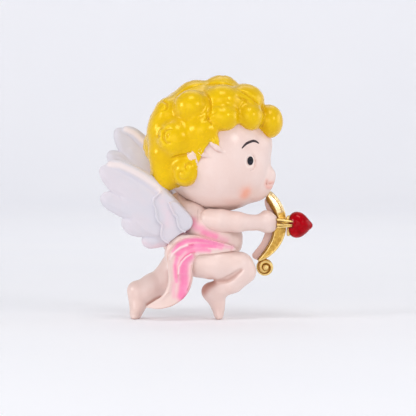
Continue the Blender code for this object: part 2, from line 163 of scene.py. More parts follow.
def limb(start, end):
    """A rod between two (x, y, z, radius) ends that swells or narrows from one to the other."""
    a, b = np.array(start[:3], float), np.array(end[:3], float)
    along = b - a

    def distance(*place):
        share = np.clip(sum((p - s) * way for p, s, way in zip(place, a, along)) / (along @ along), 0, 1)
        gap = sum((p - s - share * way) ** 2 for p, s, way in zip(place, a, along))
        return np.sqrt(gap) - start[3] - (end[3] - start[3]) * share

    widest = max(start[3], end[3])
    return Shape(np.minimum(a, b) - widest, np.maximum(a, b) + widest, distance)


def rounded(points, times=8, closed=True):
    """A smooth curve through the points: Catmull-Rom."""
    points = np.array(points, float)
    count = len(points)
    curve = []
    for i in range(count if closed else count - 1):
        near = np.arange(i - 1, i + 3)
        a, b, c, d = points[near % count if closed else np.clip(near, 0, count - 1)]
        for t in np.arange(times) / times:
            bend = 2 * a - 5 * b + 4 * c - d + t * (3 * b - a - 3 * c + d)
            curve.append(b + 0.5 * t * (c - a + t * bend))
    if not closed:
        curve.append(points[-1])
    return np.array(curve)


def stretched(values, count):
    """Values at even stations, read at an even count of places along them."""
    return np.interp(np.linspace(0, 1, count), np.linspace(0, 1, len(values)), values)


def to_segment(a, b, px, pz):
    """The share of a segment in the XZ plane passed at its nearest point, and the offset from there."""
    ex, ez = b[0] - a[0], b[1] - a[1]
    share = np.clip(((px - a[0]) * ex + (pz - a[1]) * ez) / (ex * ex + ez * ez), 0, 1)
    return share, px - a[0] - share * ex, pz - a[1] - share * ez


def outline_distance(outline, px, pz):
    """The signed distance in the XZ plane to a closed outline, negative inside."""
    nearest = np.full(np.broadcast(px, pz).shape, FAR, np.float32)
    inside = np.zeros(nearest.shape, bool)
    for a, b in zip(outline, np.roll(outline, -1, axis=0)):
        _, gx, gz = to_segment(a, b, px, pz)
        nearest = np.minimum(nearest, np.hypot(gx, gz))
        if a[1] != b[1]:
            beyond = px < a[0] + (pz - a[1]) * (b[0] - a[0]) / (b[1] - a[1])
            inside ^= ((a[1] > pz) != (b[1] > pz)) & beyond
    return np.where(inside, -nearest, nearest)


def solid_corner(gaps, edge):
    """A body inside every one of several faces, with its corners rounded by edge."""
    gaps = [gap + edge for gap in gaps]
    outer = np.sqrt(sum(np.maximum(gap, 0) ** 2 for gap in gaps))
    return outer + np.minimum(np.max(np.broadcast_arrays(*gaps), axis=0), 0) - edge


def plate(outline, middle, half, edge, swell=0.0, reach=1.0):
    """A flat body with rounded edges: an outline in the XZ plane, thick by a half each way.

    middle(x, z) gives the plane's Y. The body swells away from its outline, over the given reach.
    """
    def distance(px, py, pz):
        flat = outline_distance(outline, px, pz)
        inner = np.clip(-flat / reach, 0, 1)
        thick = half + swell * (1 - (1 - inner) ** 2)
        return solid_corner([flat, np.abs(py - middle(px, pz)) - thick], edge)

    corners_y = [float(middle(x, z)) for x, z in outline]
    low = (outline[:, 0].min(), min(corners_y) - half - swell, outline[:, 1].min())
    high = (outline[:, 0].max(), max(corners_y) + half + swell, outline[:, 1].max())
    return Shape(np.array(low), np.array(high), distance)


# ---------------------------------------------------------------- meshes

def surface(clay):
    """The closed quad mesh where a field crosses zero: one point in each cell that it crosses."""
    inside = clay.field < 0
    count = np.zeros([n - 1 for n in inside.shape], np.int8)
    for corner in CORNERS:
        count += inside[tuple(slice(c, n - 1 + c) for c, n in zip(corner, inside.shape))]
    cells = np.argwhere((count > 0) & (count < 8))
    values = clay.field[tuple((cells[:, None, :] + CORNERS).transpose(2, 0, 1))]
    total, hits = np.zeros((len(cells), 3)), np.zeros((len(cells), 1))
    for a, b in CELL_EDGES:
        cross = (values[:, a] < 0) != (values[:, b] < 0)
        share = values[cross, a] / (values[cross, a] - values[cross, b])
        total[cross] += CORNERS[a] + share[:, None] * (CORNERS[b] - CORNERS[a])
        hits[cross] += 1
    points = np.array([axis[0] for axis in clay.axes]) + clay.step * (cells + total / hits)
    number = np.full(count.shape, -1, np.int64)
    number[tuple(cells.T)] = np.arange(len(cells))
    faces = []
    for axis in range(3):
        ahead, u, v = np.roll(np.eye(3, dtype=int), -axis, axis=0)
        near = inside[tuple(slice(0, n - step) for n, step in zip(inside.shape, ahead))]
        far = inside[tuple(slice(step, None) for step in ahead)]
        at = np.argwhere(near != far)
        at = at[((at >= u + v) & (at < inside.shape - u - v)).all(axis=1)]
        quad = np.stack([number[tuple(ring.T)] for ring in (at - u - v, at - v, at, at - u)], axis=1)
        faces.append(np.where(near[tuple(at.T)][:, None], quad, quad[:, ::-1]))
    return points, np.concatenate(faces)


def neighbours(faces, count):
    """For each point, how to average over the points it shares an edge with."""
    ends = np.concatenate([faces[:, [i - 1, i]] for i in range(4)])
    ends = np.unique(np.sort(ends, axis=1), axis=0)
    first, second = np.concatenate([ends, ends[:, ::-1]]).T
    share = np.maximum(np.bincount(first, minlength=count), 1)

    def average(values):
        if values.ndim == 1:
            return np.bincount(first, values[second], count) / share
        return np.stack([average(column) for column in values.T], axis=1)

    return average


def hollow(average, points, out, reach, times):
    """How hollow the surface is at each point, and negative on a bulge; out is the way out of it."""
    cavity = ((average(points) - points) * out).sum(axis=1) / reach ** 2
    for _ in range(times):
        cavity = 0.5 * cavity + 0.5 * average(cavity)
    return cavity


def placed(name, data):
    """A new object in the scene."""
    obj = bpy.data.objects.new(name, data)
    bpy.context.scene.collection.objects.link(obj)
    return obj


def set_values(mesh, values):
    """Gives the points of a mesh named numbers."""
    for key, numbers in values.items():
        layer = mesh.attributes.new(key, "FLOAT", "POINT")
        layer.data.foreach_set("value", numbers.astype(np.float32))


def make_mesh(name, points, faces, values):
    """An object from quads on points in mm, with named numbers at each point."""
    mesh = bpy.data.meshes.new(name)
    mesh.vertices.add(len(points))
    mesh.vertices.foreach_set("co", (points * MM).astype(np.float32).ravel())
    mesh.loops.add(faces.size)
    mesh.loops.foreach_set("vertex_index", faces.astype(np.int32).ravel())
    mesh.polygons.add(len(faces))
    mesh.polygons.foreach_set("loop_start", 4 * np.arange(len(faces), dtype=np.int32))
    set_values(mesh, values)
    mesh.update(calc_edges=True)
    mesh.validate()
    mesh.shade_smooth()
    return placed(name, mesh)


def small_mesh(name, points, faces):
    """An object from faces of any size on points in mm."""
    mesh = bpy.data.meshes.new(name)
    mesh.from_pydata((points * MM).tolist(), [], faces)
    mesh.validate()
    mesh.shade_smooth()
    return placed(name, mesh)


def ring_faces(rings, sides):
    """Quads that join each of several rings of points to the one after it."""
    around = [(i, (i + 1) % sides) for i in range(sides)]
    starts = range(0, rings * sides, sides)
    return [(r + i, r + sides + i, r + sides + j, r + j) for r in starts for i, j in around]


def shaped(clay, paint):
    """The points and faces of a clay, and the numbers that its paint needs at each point."""
    points, faces = surface(clay)
    average = neighbours(faces, len(points))
    for _ in range(2):
        points = points + 0.5 * (average(points) - points)
        points = points - 0.52 * (average(points) - points)
    slope = clay.slope(points)
    return points, faces, {"cavity": hollow(average, points, slope, clay.step, 4), **paint(points)}


def finish_piece(piece, material, slot, *nodes):
    """Gives a piece its material and body, and hides the CAD nodes that it replaces; the slot is not used."""
    piece.data.materials.append(material)
    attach(piece, "root")
    if nodes:
        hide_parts(*nodes)


# ---------------------------------------------------------------- drawing on a sculpted surface

def beside(path, px, pz):
    """Distance in the XZ plane to an open line, the share of it passed, and the side: + is left."""
    nearest = np.full(np.broadcast(px, pz).shape, FAR)
    along, side = np.zeros(nearest.shape), np.ones(nearest.shape)
    for i, (a, b) in enumerate(zip(path, path[1:])):
        share, gx, gz = to_segment(a, b, px, pz)
        gap = np.hypot(gx, gz)
        closer = gap < nearest
        nearest = np.where(closer, gap, nearest)
        along = np.where(closer, (i + share) / (len(path) - 1), along)
        side = np.where(closer, np.sign((b[0] - a[0]) * gz - (b[1] - a[1]) * gx), side)
    return nearest, along, side


def line_gap(points, path):
    """Distance in the XZ plane from each point to an open line."""
    return beside(path, points[:, 0], points[:, 2])[0]


def stroke(points, path, width):
    """How strongly a soft brush stroke along a line in the XZ plane tints each point."""
    return np.exp(-(line_gap(points, path) / width) ** 2)


def field_at(clays, points):
    """The distance from points to the nearest of several clays."""
    field = np.min([clay.at(points.reshape(-1, 3)) for clay in clays], axis=0)
    return field.reshape(points.shape[:-1])


def side_of(clays, x, z):
    """The Y at which a look along Y from the right first meets any of the clays; 0 where none does."""
    x, z = np.ravel(x), np.ravel(z)
    field = field_at(clays, np.stack(np.broadcast_arrays(x[:, None], LOOK, z[:, None]), axis=2))
    first = np.argmax(field < 0, axis=1)
    rows = np.arange(len(x))
    before = np.maximum(first - 1, 0)
    outer, inner = field[rows, before], field[rows, first]
    share = np.clip(outer / np.maximum(outer - inner, 1e-6), 0, 1)
    found = LOOK[before] + share * (LOOK[first] - LOOK[before])
    return np.where(field.min(axis=1) < 0, found, 0.0)


def lay_on(clay, flat):
    """Points (x, z) laid on the right side of a clay, as (x, y, z)."""
    flat = np.asarray(flat, float)
    return np.stack([flat[:, 0], side_of([clay], flat[:, 0], flat[:, 1]), flat[:, 1]], axis=1)


def add_strand(clay, points, radii, soft=0.4):
    """Limbs through the points, with a radius at each."""
    clay.add_limbs([(*point, radius) for point, radius in zip(points, radii)], soft)


def carve_line(clay, points, radius, soft=0.35):
    """A groove through the points, tapering to nothing at both ends."""
    ends = np.abs(np.linspace(-1, 1, len(points)))
    knots = [(*point, radius * (1 - end ** 3) + 0.03) for point, end in zip(points, ends)]
    for start, end in zip(knots, knots[1:]):
        clay.carve(limb(start, end), soft)


# ---------------------------------------------------------------- the head and hair

HEAD_MIDDLE = np.array((3.0, 0.0, 55.0))
HEAD_TURN = math.radians(10)  # the face looks a little to the figure's right
EYE = (13.8, 52.15)
BROW = [(11.3, 56.3), (12.4, 57.5), (13.5, 58.15), (15.0, 58.6), (16.0, 58.35), (16.8, 57.8)]
CHEEK = (12.5, 41.5)
EYE_CREASE = [(14.2, 54.3), (15.1, 53.7), (15.7, 52.2), (15.7, 50.7), (15.1, 49.5), (14.0, 49.0)]


def mirror_face(points):
    """Points reflected from one side of the face to the other."""
    across = np.array((math.sin(HEAD_TURN), math.cos(HEAD_TURN), 0))
    return points - 2 * ((points - HEAD_MIDDLE) @ across)[:, None] * across


def make_head_clay():
    clay = Clay((-17, -18.5, 34.5), (25, 18.5, 75.5), 0.28)
    clay.add_balls(
        (2.8, 0.0, 55.0, 17.9, 16.8, 19.0, 0), (5.7, -0.8, 48.2, 14.4, 15.2, 11.9, 3.6),
        (15.2, -1.6, 57.6, 5.8, 8.0, 5.0, 2.5), (16.4, -2.6, 43.0, 3.9, 3.9, 3.9, 3),
        (18.5, -3.1, 44.9, 3.1, 3.4, 2.7, 2), (19.7, -3.5, 47.2, 2.75, 2.8, 2.9, 1.6),
        (20.0, -3.7, 45.2, 1.6, 2.7, 0.9, 0.6), (19.5, -3.7, 43.4, 1.5, 2.3, 0.9, 0.6),
    )
    for mouth in ([(19.7, 44.35), (20.2, 44.3), (20.8, 44.35), (21.4, 44.4)],
                  [(19.9, 46.0), (19.6, 45.2), (19.5, 44.4), (19.6, 43.6)]):
        carve_line(clay, lay_on(clay, mouth), 0.3)
    eyes = np.concatenate(both_sides(clay, [EYE]))
    for eye, out in zip(eyes, clay.slope(eyes)):
        clay.carve(ball(*(eye + 0.5 * out), EYE_HOLE[0], *EYE_HOLE), 0.7)
    for points in both_sides(clay, EYE_CREASE):
        carve_line(clay, points, 0.42, 0.3)
    for line, radii in ((STRAND_FRONT, (1.5, 1.2, 0.9, 0.5, 0.2)), (STRAND_BACK, (1.3, 1.1, 0.8, 0.45, 0.2))):
        for points in both_sides(clay, line):
            add_strand(clay, points, radii, 0.5)
    for line in (UNDER_FRONT, UNDER_BACK):
        for points in both_sides(clay, line):
            carve_line(clay, points, 0.3, 0.3)
    return clay


STRAND_FRONT = [(1.2, 59.6), (1.9, 57.9), (2.9, 56.6), (4.1, 55.7), (5.4, 55.1)]
STRAND_BACK = [(-3.0, 56.6), (-2.6, 55.4), (-1.8, 54.6), (-0.6, 54.0), (0.9, 53.5)]
UNDER_FRONT = [(0.3, 58.6), (1.0, 57.0), (2.3, 55.8), (3.8, 55.0), (5.2, 54.8)]
UNDER_BACK = [(-4.2, 54.6), (-3.2, 53.7), (-2.2, 53.3), (-1.0, 53.2), (0.6, 53.3)]


def both_sides(clay, flat):
    near = lay_on(clay, flat)
    return near, clay.settle(mirror_face(near))


HAIR_MIDDLE = np.array((1.0, 0.0, 58.0))
CURL_PITCH = 2.8
# Curls of the right side: centre, radii, the swirl's eye from the middle, its hand, its depth, the join.
NEAR_CURLS = [
    ((12.4, -5.0, 71.6), (6.3, 7.0, 5.5), (1.6, 0.6), 1, 0.12, 1.4),
    ((5.0, -9.8, 71.6), (6.2, 6.0, 5.2), (2.4, 0.0), 1, 0.0, 1.6),
    ((-12.3, -6.2, 67.4), (5.0, 6.0, 5.2), (-2.6, 1.6), -1, 0.4, 1.4),
    ((-14.5, -6.6, 61.6), (5.0, 6.0, 6.2), (0.0, 0.4), 1, 0.0, 1.8),
    ((-13.0, -8.2, 48.6), (5.1, 5.4, 6.3), (-0.4, -0.4), -1, 0.0, 1.8),
    ((-13.6, -9.0, 54.4), (5.5, 5.4, 5.6), (-0.6, 0.4), 1, 0.0, 1.8),
    ((20.6, -4.4, 64.8), (4.2, 5.2, 5.4), (-1.0, 1.2), 1, 0.0, 1.2),
    ((13.7, -10.2, 66.4), (4.6, 4.8, 4.5), (-0.6, 0.2), -1, 0.0, 1.1),
    ((-1.3, -14.6, 62.0), (4.9, 4.2, 4.8), (0.2, 0.4), 1, 0.0, 1.2),
    ((4.9, -13.7, 66.2), (5.4, 4.7, 4.7), (-3.4, 0.8), -1, 0.3, 0.9),
    ((-5.1, -11.6, 69.6), (5.7, 5.5, 5.5), (-1.6, 1.6), 1, 0.15, 0.8),
    ((-9.7, -12.3, 59.2), (6.5, 6.0, 6.6), (-2.9, 1.3), -1, 0.6, 0.9),
    ((-7.0, -12.4, 49.0), (4.7, 4.8, 5.2), (1.6, 1.2), 1, 0.35, 0.9),
]
TOP_CURLS = [
    ((4.6, -0.6, 74.4), (6.4, 7.4, 5.6), (0.6, 0.2), 1, 0.3, 0.8),
    ((-3.4, -0.6, 73.3), (6.4, 7.0, 5.1), (0.4, 0.2), -1, 0.2, 1.2),
    ((-15.6, 0.6, 56.8), (5.4, 6.4, 6.0), (0.3, 0.3), 1, 0.3, 1.0),
    ((-13.6, 0.4, 49.2), (5.2, 6.0, 6.2), (0.3, 0.3), -1, 0.3, 1.0),
    ((-13.9, 0.8, 64.0), (5.3, 6.0, 5.6), (0.3, 0.3), -1, 0.3, 1.0),
    ((-9.2, 0.4, 68.8), (5.2, 6.0, 4.9), (0.3, 0.3), 1, 0.2, 1.2),
]
# Grooves drawn in the hair, and how deep: hooks of the swirls, rims of the big curls, strands.
HAIR_LINES = [
    ([(-11.0, 62.4), (-12.4, 62.8), (-13.7, 62.0), (-14.2, 60.4), (-13.9, 58.9), (-12.9, 58.0),
      (-11.6, 58.3)], 0.5),
    ([(-12.0, 61.2), (-12.8, 60.6), (-12.6, 59.6)], 0.3),
    ([(-0.9, 65.2), (0.4, 66.4), (1.0, 68.6), (0.9, 71.2), (0.1, 73.4), (-1.4, 75.0)], 0.4),
    ([(-10.6, 70.4), (-10.2, 72.2), (-8.6, 74.2), (-6.2, 75.7), (-3.2, 76.6), (-0.4, 77.2)], 0.3),
    ([(-15.8, 71.2), (-14.4, 71.6), (-13.0, 70.6), (-13.2, 69.0), (-14.6, 68.4)], 0.35),
    ([(-0.6, 76.6), (2.4, 77.2), (5.6, 77.2), (9.0, 76.4)], 0.35),
    ([(9.6, 75.6), (12.4, 74.0), (15.2, 71.8), (16.8, 70.4)], 0.35),
    ([(9.4, 73.4), (11.6, 72.2), (13.8, 70.8)], 0.3),
    ([(0.9, 69.2), (0.2, 67.4), (0.5, 65.6), (1.8, 64.0)], 0.35),
    ([(-11.4, 53.0), (-9.8, 53.6), (-7.0, 54.2), (-4.6, 55.4)], 0.4),
    ([(-4.6, 51.0), (-5.6, 51.6), (-6.8, 51.0), (-6.8, 49.8), (-5.9, 49.2)], 0.3),
]
FRINGE = [(40, 61.0), (19, 62.0), (11, 65.0), (3.5, 62.6), (0.0, 57.5), (-3.0, 51.0), (-5.0, 44.0),
          (-8.0, 30.0), (40, 30.0)]


def directions(out):
    """Unit directions along and up a surface that faces the given way; along X on top."""
    right = np.cross((0, 0, 1), out)
    if np.linalg.norm(right) < 0.45:
        right = np.array((1.0, 0, 0)) - out[0] * out
    right = right / np.linalg.norm(right)
    return right, np.cross(out, right)


def curl(centre, radii, eye, hand, depth):
    """A lock rolled into a knob: an ellipsoid with a spiral valley round its eye."""
    body = ball(*centre, *radii)
    out = centre - HAIR_MIDDLE
    ways = directions(out / np.linalg.norm(out))

    def distance(*place):
        gap = [p - c for p, c in zip(place, centre)]
        u, v = (sum(g * w for g, w in zip(gap, way)) - e for way, e in zip(ways, eye))
        spread = np.sqrt(u * u + v * v)
        turn = 2 * math.pi * spread / CURL_PITCH - hand * np.arctan2(v, u)
        valley = (0.5 + 0.5 * np.cos(turn)) ** 2
        fade = smooth_step(0.1, 0.9, spread) * (1 - 0.85 * smooth_step(1.6, 3.2, spread))
        return body.distance(*place) + fade * depth * valley

    return Shape(body.low, body.high, distance)


def mirrored(curl_numbers):
    """The same curl on the left side, a little different as a hand would make it."""
    (x, y, z), radii, eye, hand, depth = curl_numbers
    return (x - 0.2, -y, z + 0.15), radii, (-eye[0], eye[1]), -hand, depth


def make_hair_clay():
    clay = Clay((-23, -20, 40.5), (26, 20, 81), 0.3)
    clay.add(ball(0.0, 0.0, 58.9, 19.4, 17.7, 18.9), 0)
    clay.carve(plate(np.array(FRINGE, float), lambda x, z: 0 * x, 40, 0.5), 0.5)
    for *numbers, join in TOP_CURLS:
        clay.add(curl(*numbers), join)
    for *numbers, join in NEAR_CURLS:
        clay.add(curl(*numbers), 1.5 * join)
        clay.add(curl(*mirrored(numbers)), 1.5 * join)
    for line, size in HAIR_LINES:
        near = lay_on(clay, rounded(line, 4, closed=False))
        carve_line(clay, near, size)
        carve_line(clay, near * (1, -1, 1) + (-0.2, 0, 0.15), size)
    for side in (-1, 1):
        lock = [(1.6, side * 16.0, 60.8), (2.4, side * 16.6, 58.8), (3.5, side * 16.4, 57.0)]
        add_strand(clay, lock, (2.0, 1.5, 0.6))
    return clay


# ---------------------------------------------------------------- the body

def make_torso_clay():
    clay = Clay((-16, -10.5, 12), (14, 11.8, 42), 0.33)
    clay.add_balls((1.6, 0.0, 26.2, 10.2, 8.6, 8.6, 0), (-0.8, 0.0, 32.0, 7.6, 7.4, 5.0, 3),
                   (-6.8, 0.0, 33.4, 6.2, 6.6, 6.4, 3))
    for side in (-1, 1):
        clay.add_balls((-1.6, side * 5.0, 30.6, 5.6, 5.4, 5.2, 2), (3.6, side * 5.6, 28.0, 4.6, 4.2, 3.6, 2),
                       (-5.6, side * 5.4, 35.6, 4.6, 3.0, 3.4, 2))
    clay.add_balls((-5.0, 0.0, 21.4, 9.0, 8.4, 7.2, 3), (-9.2, 0.0, 37.4, 3.6, 6.0, 4.2, 2),
                   (-9.6, 0.0, 27.2, 4.4, 8.0, 3.6, 2.5))
    clay.add_limbs([(-9.6, 5.4, 34.4, 2.8), (-10.0, 9.7, 34.7, 1.3)], 1.5)
    clay.carve(ball(12.3, 0.0, 26.0, 0.9, 0.7, 0.9), 0.5)
    return clay


def make_right_arm_clay():
    clay = Clay((-7, -15, 26), (25, 3, 38), 0.25)
    clay.add_limbs([(0.9, -7.6, 33.0, 3.6), (4.6, -9.0, 32.7, 3.7), (10.0, -8.8, 32.2, 3.3),
                    (14.6, -6.6, 31.9, 2.5), (17.2, -4.8, 31.9, 2.7)], 0.6)
    clay.add_balls((19.6, -3.0, 32.0, 3.2, 3.5, 3.7, 1.4))
    for finger in FINGERS:
        clay.add_limbs(finger, 0.7)
    return clay


FINGERS = [
    ((19.9, -5.0, 33.6, 1.3), (21.7, -3.4, 33.1, 1.05)),
    ((20.1, -5.2, 32.3, 1.3), (22.0, -3.5, 31.8, 1.05)),
    ((20.1, -5.1, 31.0, 1.25), (21.9, -3.4, 30.6, 1.0)),
    ((19.7, -4.8, 29.9, 1.15), (21.2, -3.2, 29.6, 0.9)),
    ((19.0, -3.2, 34.4, 1.3), (20.8, -1.0, 34.0, 1.0)),  # the thumb
]


def make_left_arm_clay():
    clay = Clay((-7, -5, 26), (17, 16, 38), 0.3)
    clay.add_limbs([(-1.4, 7.2, 32.2, 4.2), (4.4, 10.6, 31.6, 3.5), (7.6, 9.8, 31.2, 3.1),
                    (10.8, 3.4, 31.2, 2.3), (12.2, -0.6, 31.6, 2.4)], 2.0)
    for z in (33.0, 31.7, 30.4):
        clay.add_limbs([(12.6, 0.4, z, 0.9), (13.4, -2.2, z, 0.85)], 0.3)
    return clay


def make_right_leg_clay():
    clay = Clay((-10, -12.5, -0.9), (18, 5, 27), 0.28)
    clay.add_limbs([(-2.4, -4.8, 19.2, 5.4), (3.6, -5.6, 18.2, 4.9)], 0)
    clay.add_limbs([(3.6, -5.6, 18.2, 4.9), (10.6, -5.5, 17.8, 4.6)], 2)
    clay.add_limbs([(11.8, -5.2, 15.9, 4.3), (8.4, -5.0, 12.5, 3.6), (4.2, -3.7, 10.2, 3.1),
                    (1.2, -2.6, 9.3, 2.6)], 0.7)
    fold = [(0.5, 13.2), (3.0, 13.0), (5.6, 13.3), (7.8, 14.2), (9.8, 15.5), (11.6, 16.8)]
    carve_line(clay, lay_on(clay, rounded(fold, 4, closed=False)), 0.6, 1.0)
    add_foot(clay, (5.2, -0.7), [
        (1.3, -2.6, 9.0, 2.8, 3.0, 2.8), (3.1, -2.2, 6.6, 2.9, 3.1, 2.6), (3.6, -1.5, 4.2, 2.2, 3.3, 2.2),
        (3.85, -1.0, 2.2, 1.5, 3.5, 1.8), (3.9, -0.6, 0.9, 1.0, 4.0, 1.5),
    ])
    return clay


def make_left_leg_clay():
    clay = Clay((-28, -5, -0.9), (0, 11.5, 28), 0.28)
    clay.add_limbs([(-7.0, 3.6, 20.0, 6.2), (-12.2, 3.4, 13.8, 5.2)], 0)
    clay.add_limbs([(-12.4, 3.2, 12.6, 4.9), (-18.0, 2.6, 10.4, 4.2), (-22.4, 1.9, 9.2, 3.0)], 1.2)
    clay.add_balls((-19.8, 2.2, 7.8, 4.0, 3.4, 3.7, 2))
    add_foot(clay, (-22.1, 0.6), [
        (-23.4, 1.9, 9.2, 2.8, 3.1, 2.9), (-22.8, 1.7, 6.4, 2.9, 3.1, 2.8), (-22.7, 1.2, 4.2, 2.6, 3.3, 2.2),
        (-23.2, 0.9, 2.3, 2.0, 3.5, 1.8), (-23.6, 0.6, 0.9, 1.45, 4.0, 1.5),
    ])
    return clay


def add_foot(clay, toes, layers):
    """A foot that stands on the points of its toes, from ellipsoids piled down from the heel."""
    for layer in layers:
        clay.add(ball(*layer), 1.6)
    front, y = toes
    for i in range(4):
        line = [(front, y + (i - 1.5) * 1.5, z) for z in (2.6, 1.9, 1.2, 0.6, 0.1)]
        carve_line(clay, clay.settle(line), 0.2, 0.25)
    clay.field = np.maximum(clay.field, -clay.axes[2])


# ---------------------------------------------------------------- wings

WING_ROOT = (-9.0, 33.0)
WING_PLANE = 9.4
WING_FLARE = math.tan(math.radians(8))
LEFT_LIFT = math.radians(20)
LEFT_SHIFT = (-3.0, 4.5)
FEATHERS = [
    [(-12.0, 40.8), (-16, 42.6), (-20, 45.1), (-24, 47.3), (-28, 49.6), (-31, 50.7), (-33.2, 50.9),
     (-34.6, 50.0), (-34.9, 48.5), (-34.3, 46.4), (-33, 44.4), (-31.3, 42.4), (-28.5, 40.4), (-24, 37.6),
     (-18, 35.0), (-12, 33.5)],
    [(-12, 38.0), (-20, 39.6), (-26, 41.4), (-30, 42.4), (-32.4, 42.2), (-33.9, 41.5), (-34.6, 40),
     (-34, 38.1), (-32.3, 36.4), (-30, 35), (-27.6, 33.8), (-22, 32.0), (-12, 30.5)],
    [(-10, 35), (-18, 35.0), (-24, 34.6), (-26.6, 34.2), (-27.7, 33.0), (-27.7, 31.4), (-27, 29.8),
     (-25.5, 28.4), (-23.4, 27.6), (-20.5, 27.3), (-15, 27.4), (-10, 29)],
    [(-10, 31), (-16, 28.8), (-19.5, 28.0), (-21, 27.2), (-21.2, 25.8), (-20.4, 24.4), (-18.8, 23.6),
     (-17, 23.7), (-15, 24), (-13.2, 24.4), (-12.2, 25.6), (-9, 28.8)],
]
WING_CORE = [(-12, 39.5), (-18, 42.0), (-24, 44.5), (-28.0, 45.2), (-27.5, 41.5), (-26.5, 37.5),
             (-24.5, 34.0), (-22.5, 31.0), (-19, 28.6), (-15, 27.4), (-10, 29)]
COVERT_EDGE = [(-15.2, 42.0), (-16.4, 41.0), (-17.4, 39.9), (-17.6, 38.4), (-16.9, 36.6), (-16.6, 34.6),
               (-16.3, 33.2), (-15.5, 32.1), (-14.7, 31.3), (-15.0, 29.6), (-15.0, 27.8), (-14.2, 26.4),
               (-12.7, 25.5)]
COVERT_BACK = [(-9, 28.2), (-6.4, 29.6), (-5.0, 30.9), (-4.6, 32.4), (-5.4, 34.3), (-7.8, 36.9),
               (-10.4, 39.4), (-13.0, 41.6)]
INNER_EDGE = [(-12.6, 38.6), (-11.6, 36.4), (-11.0, 35.0), (-10.0, 34.1), (-9.8, 32.5), (-9.4, 30.9),
              (-8.4, 29.6), (-7.4, 29.2)]
INNER_BACK = [(-6.0, 29.8), (-5.0, 30.9), (-4.6, 32.4), (-5.4, 34.3), (-7.8, 36.9), (-10.2, 39.0)]
LEADING_EDGE = [(-31.4, 51.1), (-28.2, 50.7), (-24.3, 49.0), (-20.2, 46.6), (-16.4, 43.9), (-13.9, 41.2),
                (-11.1, 38.4), (-8.4, 35.7), (-6.1, 33.2)]


def wing_middle(x, z):
    """Y of the right wing's middle plane, which opens away from the body towards its tips."""
    return -(WING_PLANE + np.maximum((WING_ROOT[0] - x) * WING_FLARE, -0.4)) + 0 * z


def make_wing_clay():
    clay = Clay((-37, -15.5, 21.5), (-2.5, -5.5, 54.5), 0.2)

    def add_plate(outline, shift, sizes, soft):
        clay.add(plate(outline, lambda x, z: wing_middle(x, z) + shift, *sizes), soft)

    for i, outline in enumerate(FEATHERS):
        add_plate(rounded(outline), 0.35 * i, (0.5, 0.45, 0.9, 2.6), 0.35)
    add_plate(rounded(WING_CORE), 0, (0.9, 0.8, 0.35, 3.0), 1.2)
    add_plate(rounded(COVERT_EDGE + COVERT_BACK, 5), -0.85, (0.9, 0.5, 0.2, 1.6), 0.12)
    add_plate(rounded(INNER_EDGE + INNER_BACK, 5), -1.35, (0.9, 0.5, 0.2, 1.6), 0.12)
    for edge, rise in ((COVERT_EDGE, 1.95), (INNER_EDGE, 2.4)):
        rim = [(x + 0.25, wing_middle(x, z) - rise, z) for x, z in rounded(edge, 4, closed=False)]
        add_strand(clay, rim, [0.3] * len(rim), 0.3)
    rail = [(x, wing_middle(x, z) + 0.35, z) for x, z in rounded(LEADING_EDGE, 5, closed=False)]
    add_strand(clay, rail, stretched((0.6, 1.2, 1.35, 1.1, 0.8, 0.45), len(rail)), 1.5)
    return clay


def lift_left(points):
    """The right wing's points carried to the left side, where the wing is raised."""
    closer = np.minimum(points[:, 2] - 50.5, 0) * 0.12
    dx, dz = points[:, 0] - WING_ROOT[0], points[:, 2] - closer - WING_ROOT[1]
    cos, sin = math.cos(LEFT_LIFT), math.sin(LEFT_LIFT)
    x = WING_ROOT[0] + dx * cos + dz * sin + LEFT_SHIFT[0]
    z = WING_ROOT[1] + dz * cos - dx * sin + LEFT_SHIFT[1]
    return np.stack([x, -points[:, 1], z], axis=1)


# ---------------------------------------------------------------- sash

TOP_HEM = [(9.5, 23.4), (8, 24.6), (5, 25.6), (1, 26.8), (-2, 27.6), (-5, 28.1), (-9, 27.9), (-11.8, 26.0),
           (-13.3, 23.7), (-13.5, 21), (-12.9, 18), (-12.6, 15), (-12.8, 12), (-13.7, 9.5), (-15, 7.8),
           (-17, 6.5), (-18.5, 5.5), (-19.8, 4.6)]
LOW_HEM = [(9.5, 22.9), (8, 22.6), (5, 22.3), (2, 21.7), (-0.6, 21.6), (-3, 21.2), (-4.3, 19), (-4.7, 16.5),
           (-4.6, 14), (-5, 12), (-6, 9.5), (-8, 7), (-11, 5), (-13, 4.3), (-15, 3.9), (-17, 3.9),
           (-18.5, 4.1), (-20, 4.3)]
DRAPE_FACE = [-6.4, -8.4, -9.7, -10.4, -10.6, -10.7, -10.7, -10.7, -10.7, -10.6, -10.4, -10.2, -9.8, -9.4,
              -9.0, -8.6, -8.2, -7.8]
# Folds: a line, its height, its width; a step fold is high on its left side only.
FOLD_RIDGES = [
    ([(-12.3, 19.8), (-10.9, 22.2), (-8.8, 23.9), (-6, 24.9), (-3.4, 25.1)], 0.45, 0.6),
    ([(9, 23.9), (5, 25.2), (1, 26.5), (-2, 27.2), (-5, 27.4), (-8.5, 26.6), (-10.9, 24.9), (-12.3, 22.8),
      (-12.8, 20.6), (-12.3, 18), (-12.0, 15), (-12.0, 12), (-12.7, 9.3), (-14.4, 7.3),
      (-17, 6.1)], 0.5, 0.7),
    ([(-4.9, 19.0), (-5.0, 17), (-5.1, 14), (-5.6, 11.6), (-6.8, 9.2)], 0.3, 0.6),
]
FOLD_STEPS = [
    ([(-3.0, 23.0), (-5.2, 22.6), (-7.2, 21.5), (-8.8, 19.8), (-9.6, 17.5), (-9.8, 15),
      (-9.5, 12.6)], 0.85, 0.35),
    ([(9.2, 23.1), (5.5, 24.1), (2, 24.4), (-1.0, 24.2)], 0.25, 0.5),
    ([(8.6, 22.8), (5.5, 22.3), (3, 21.8), (0.5, 21.4)], -0.25, 0.3),
]


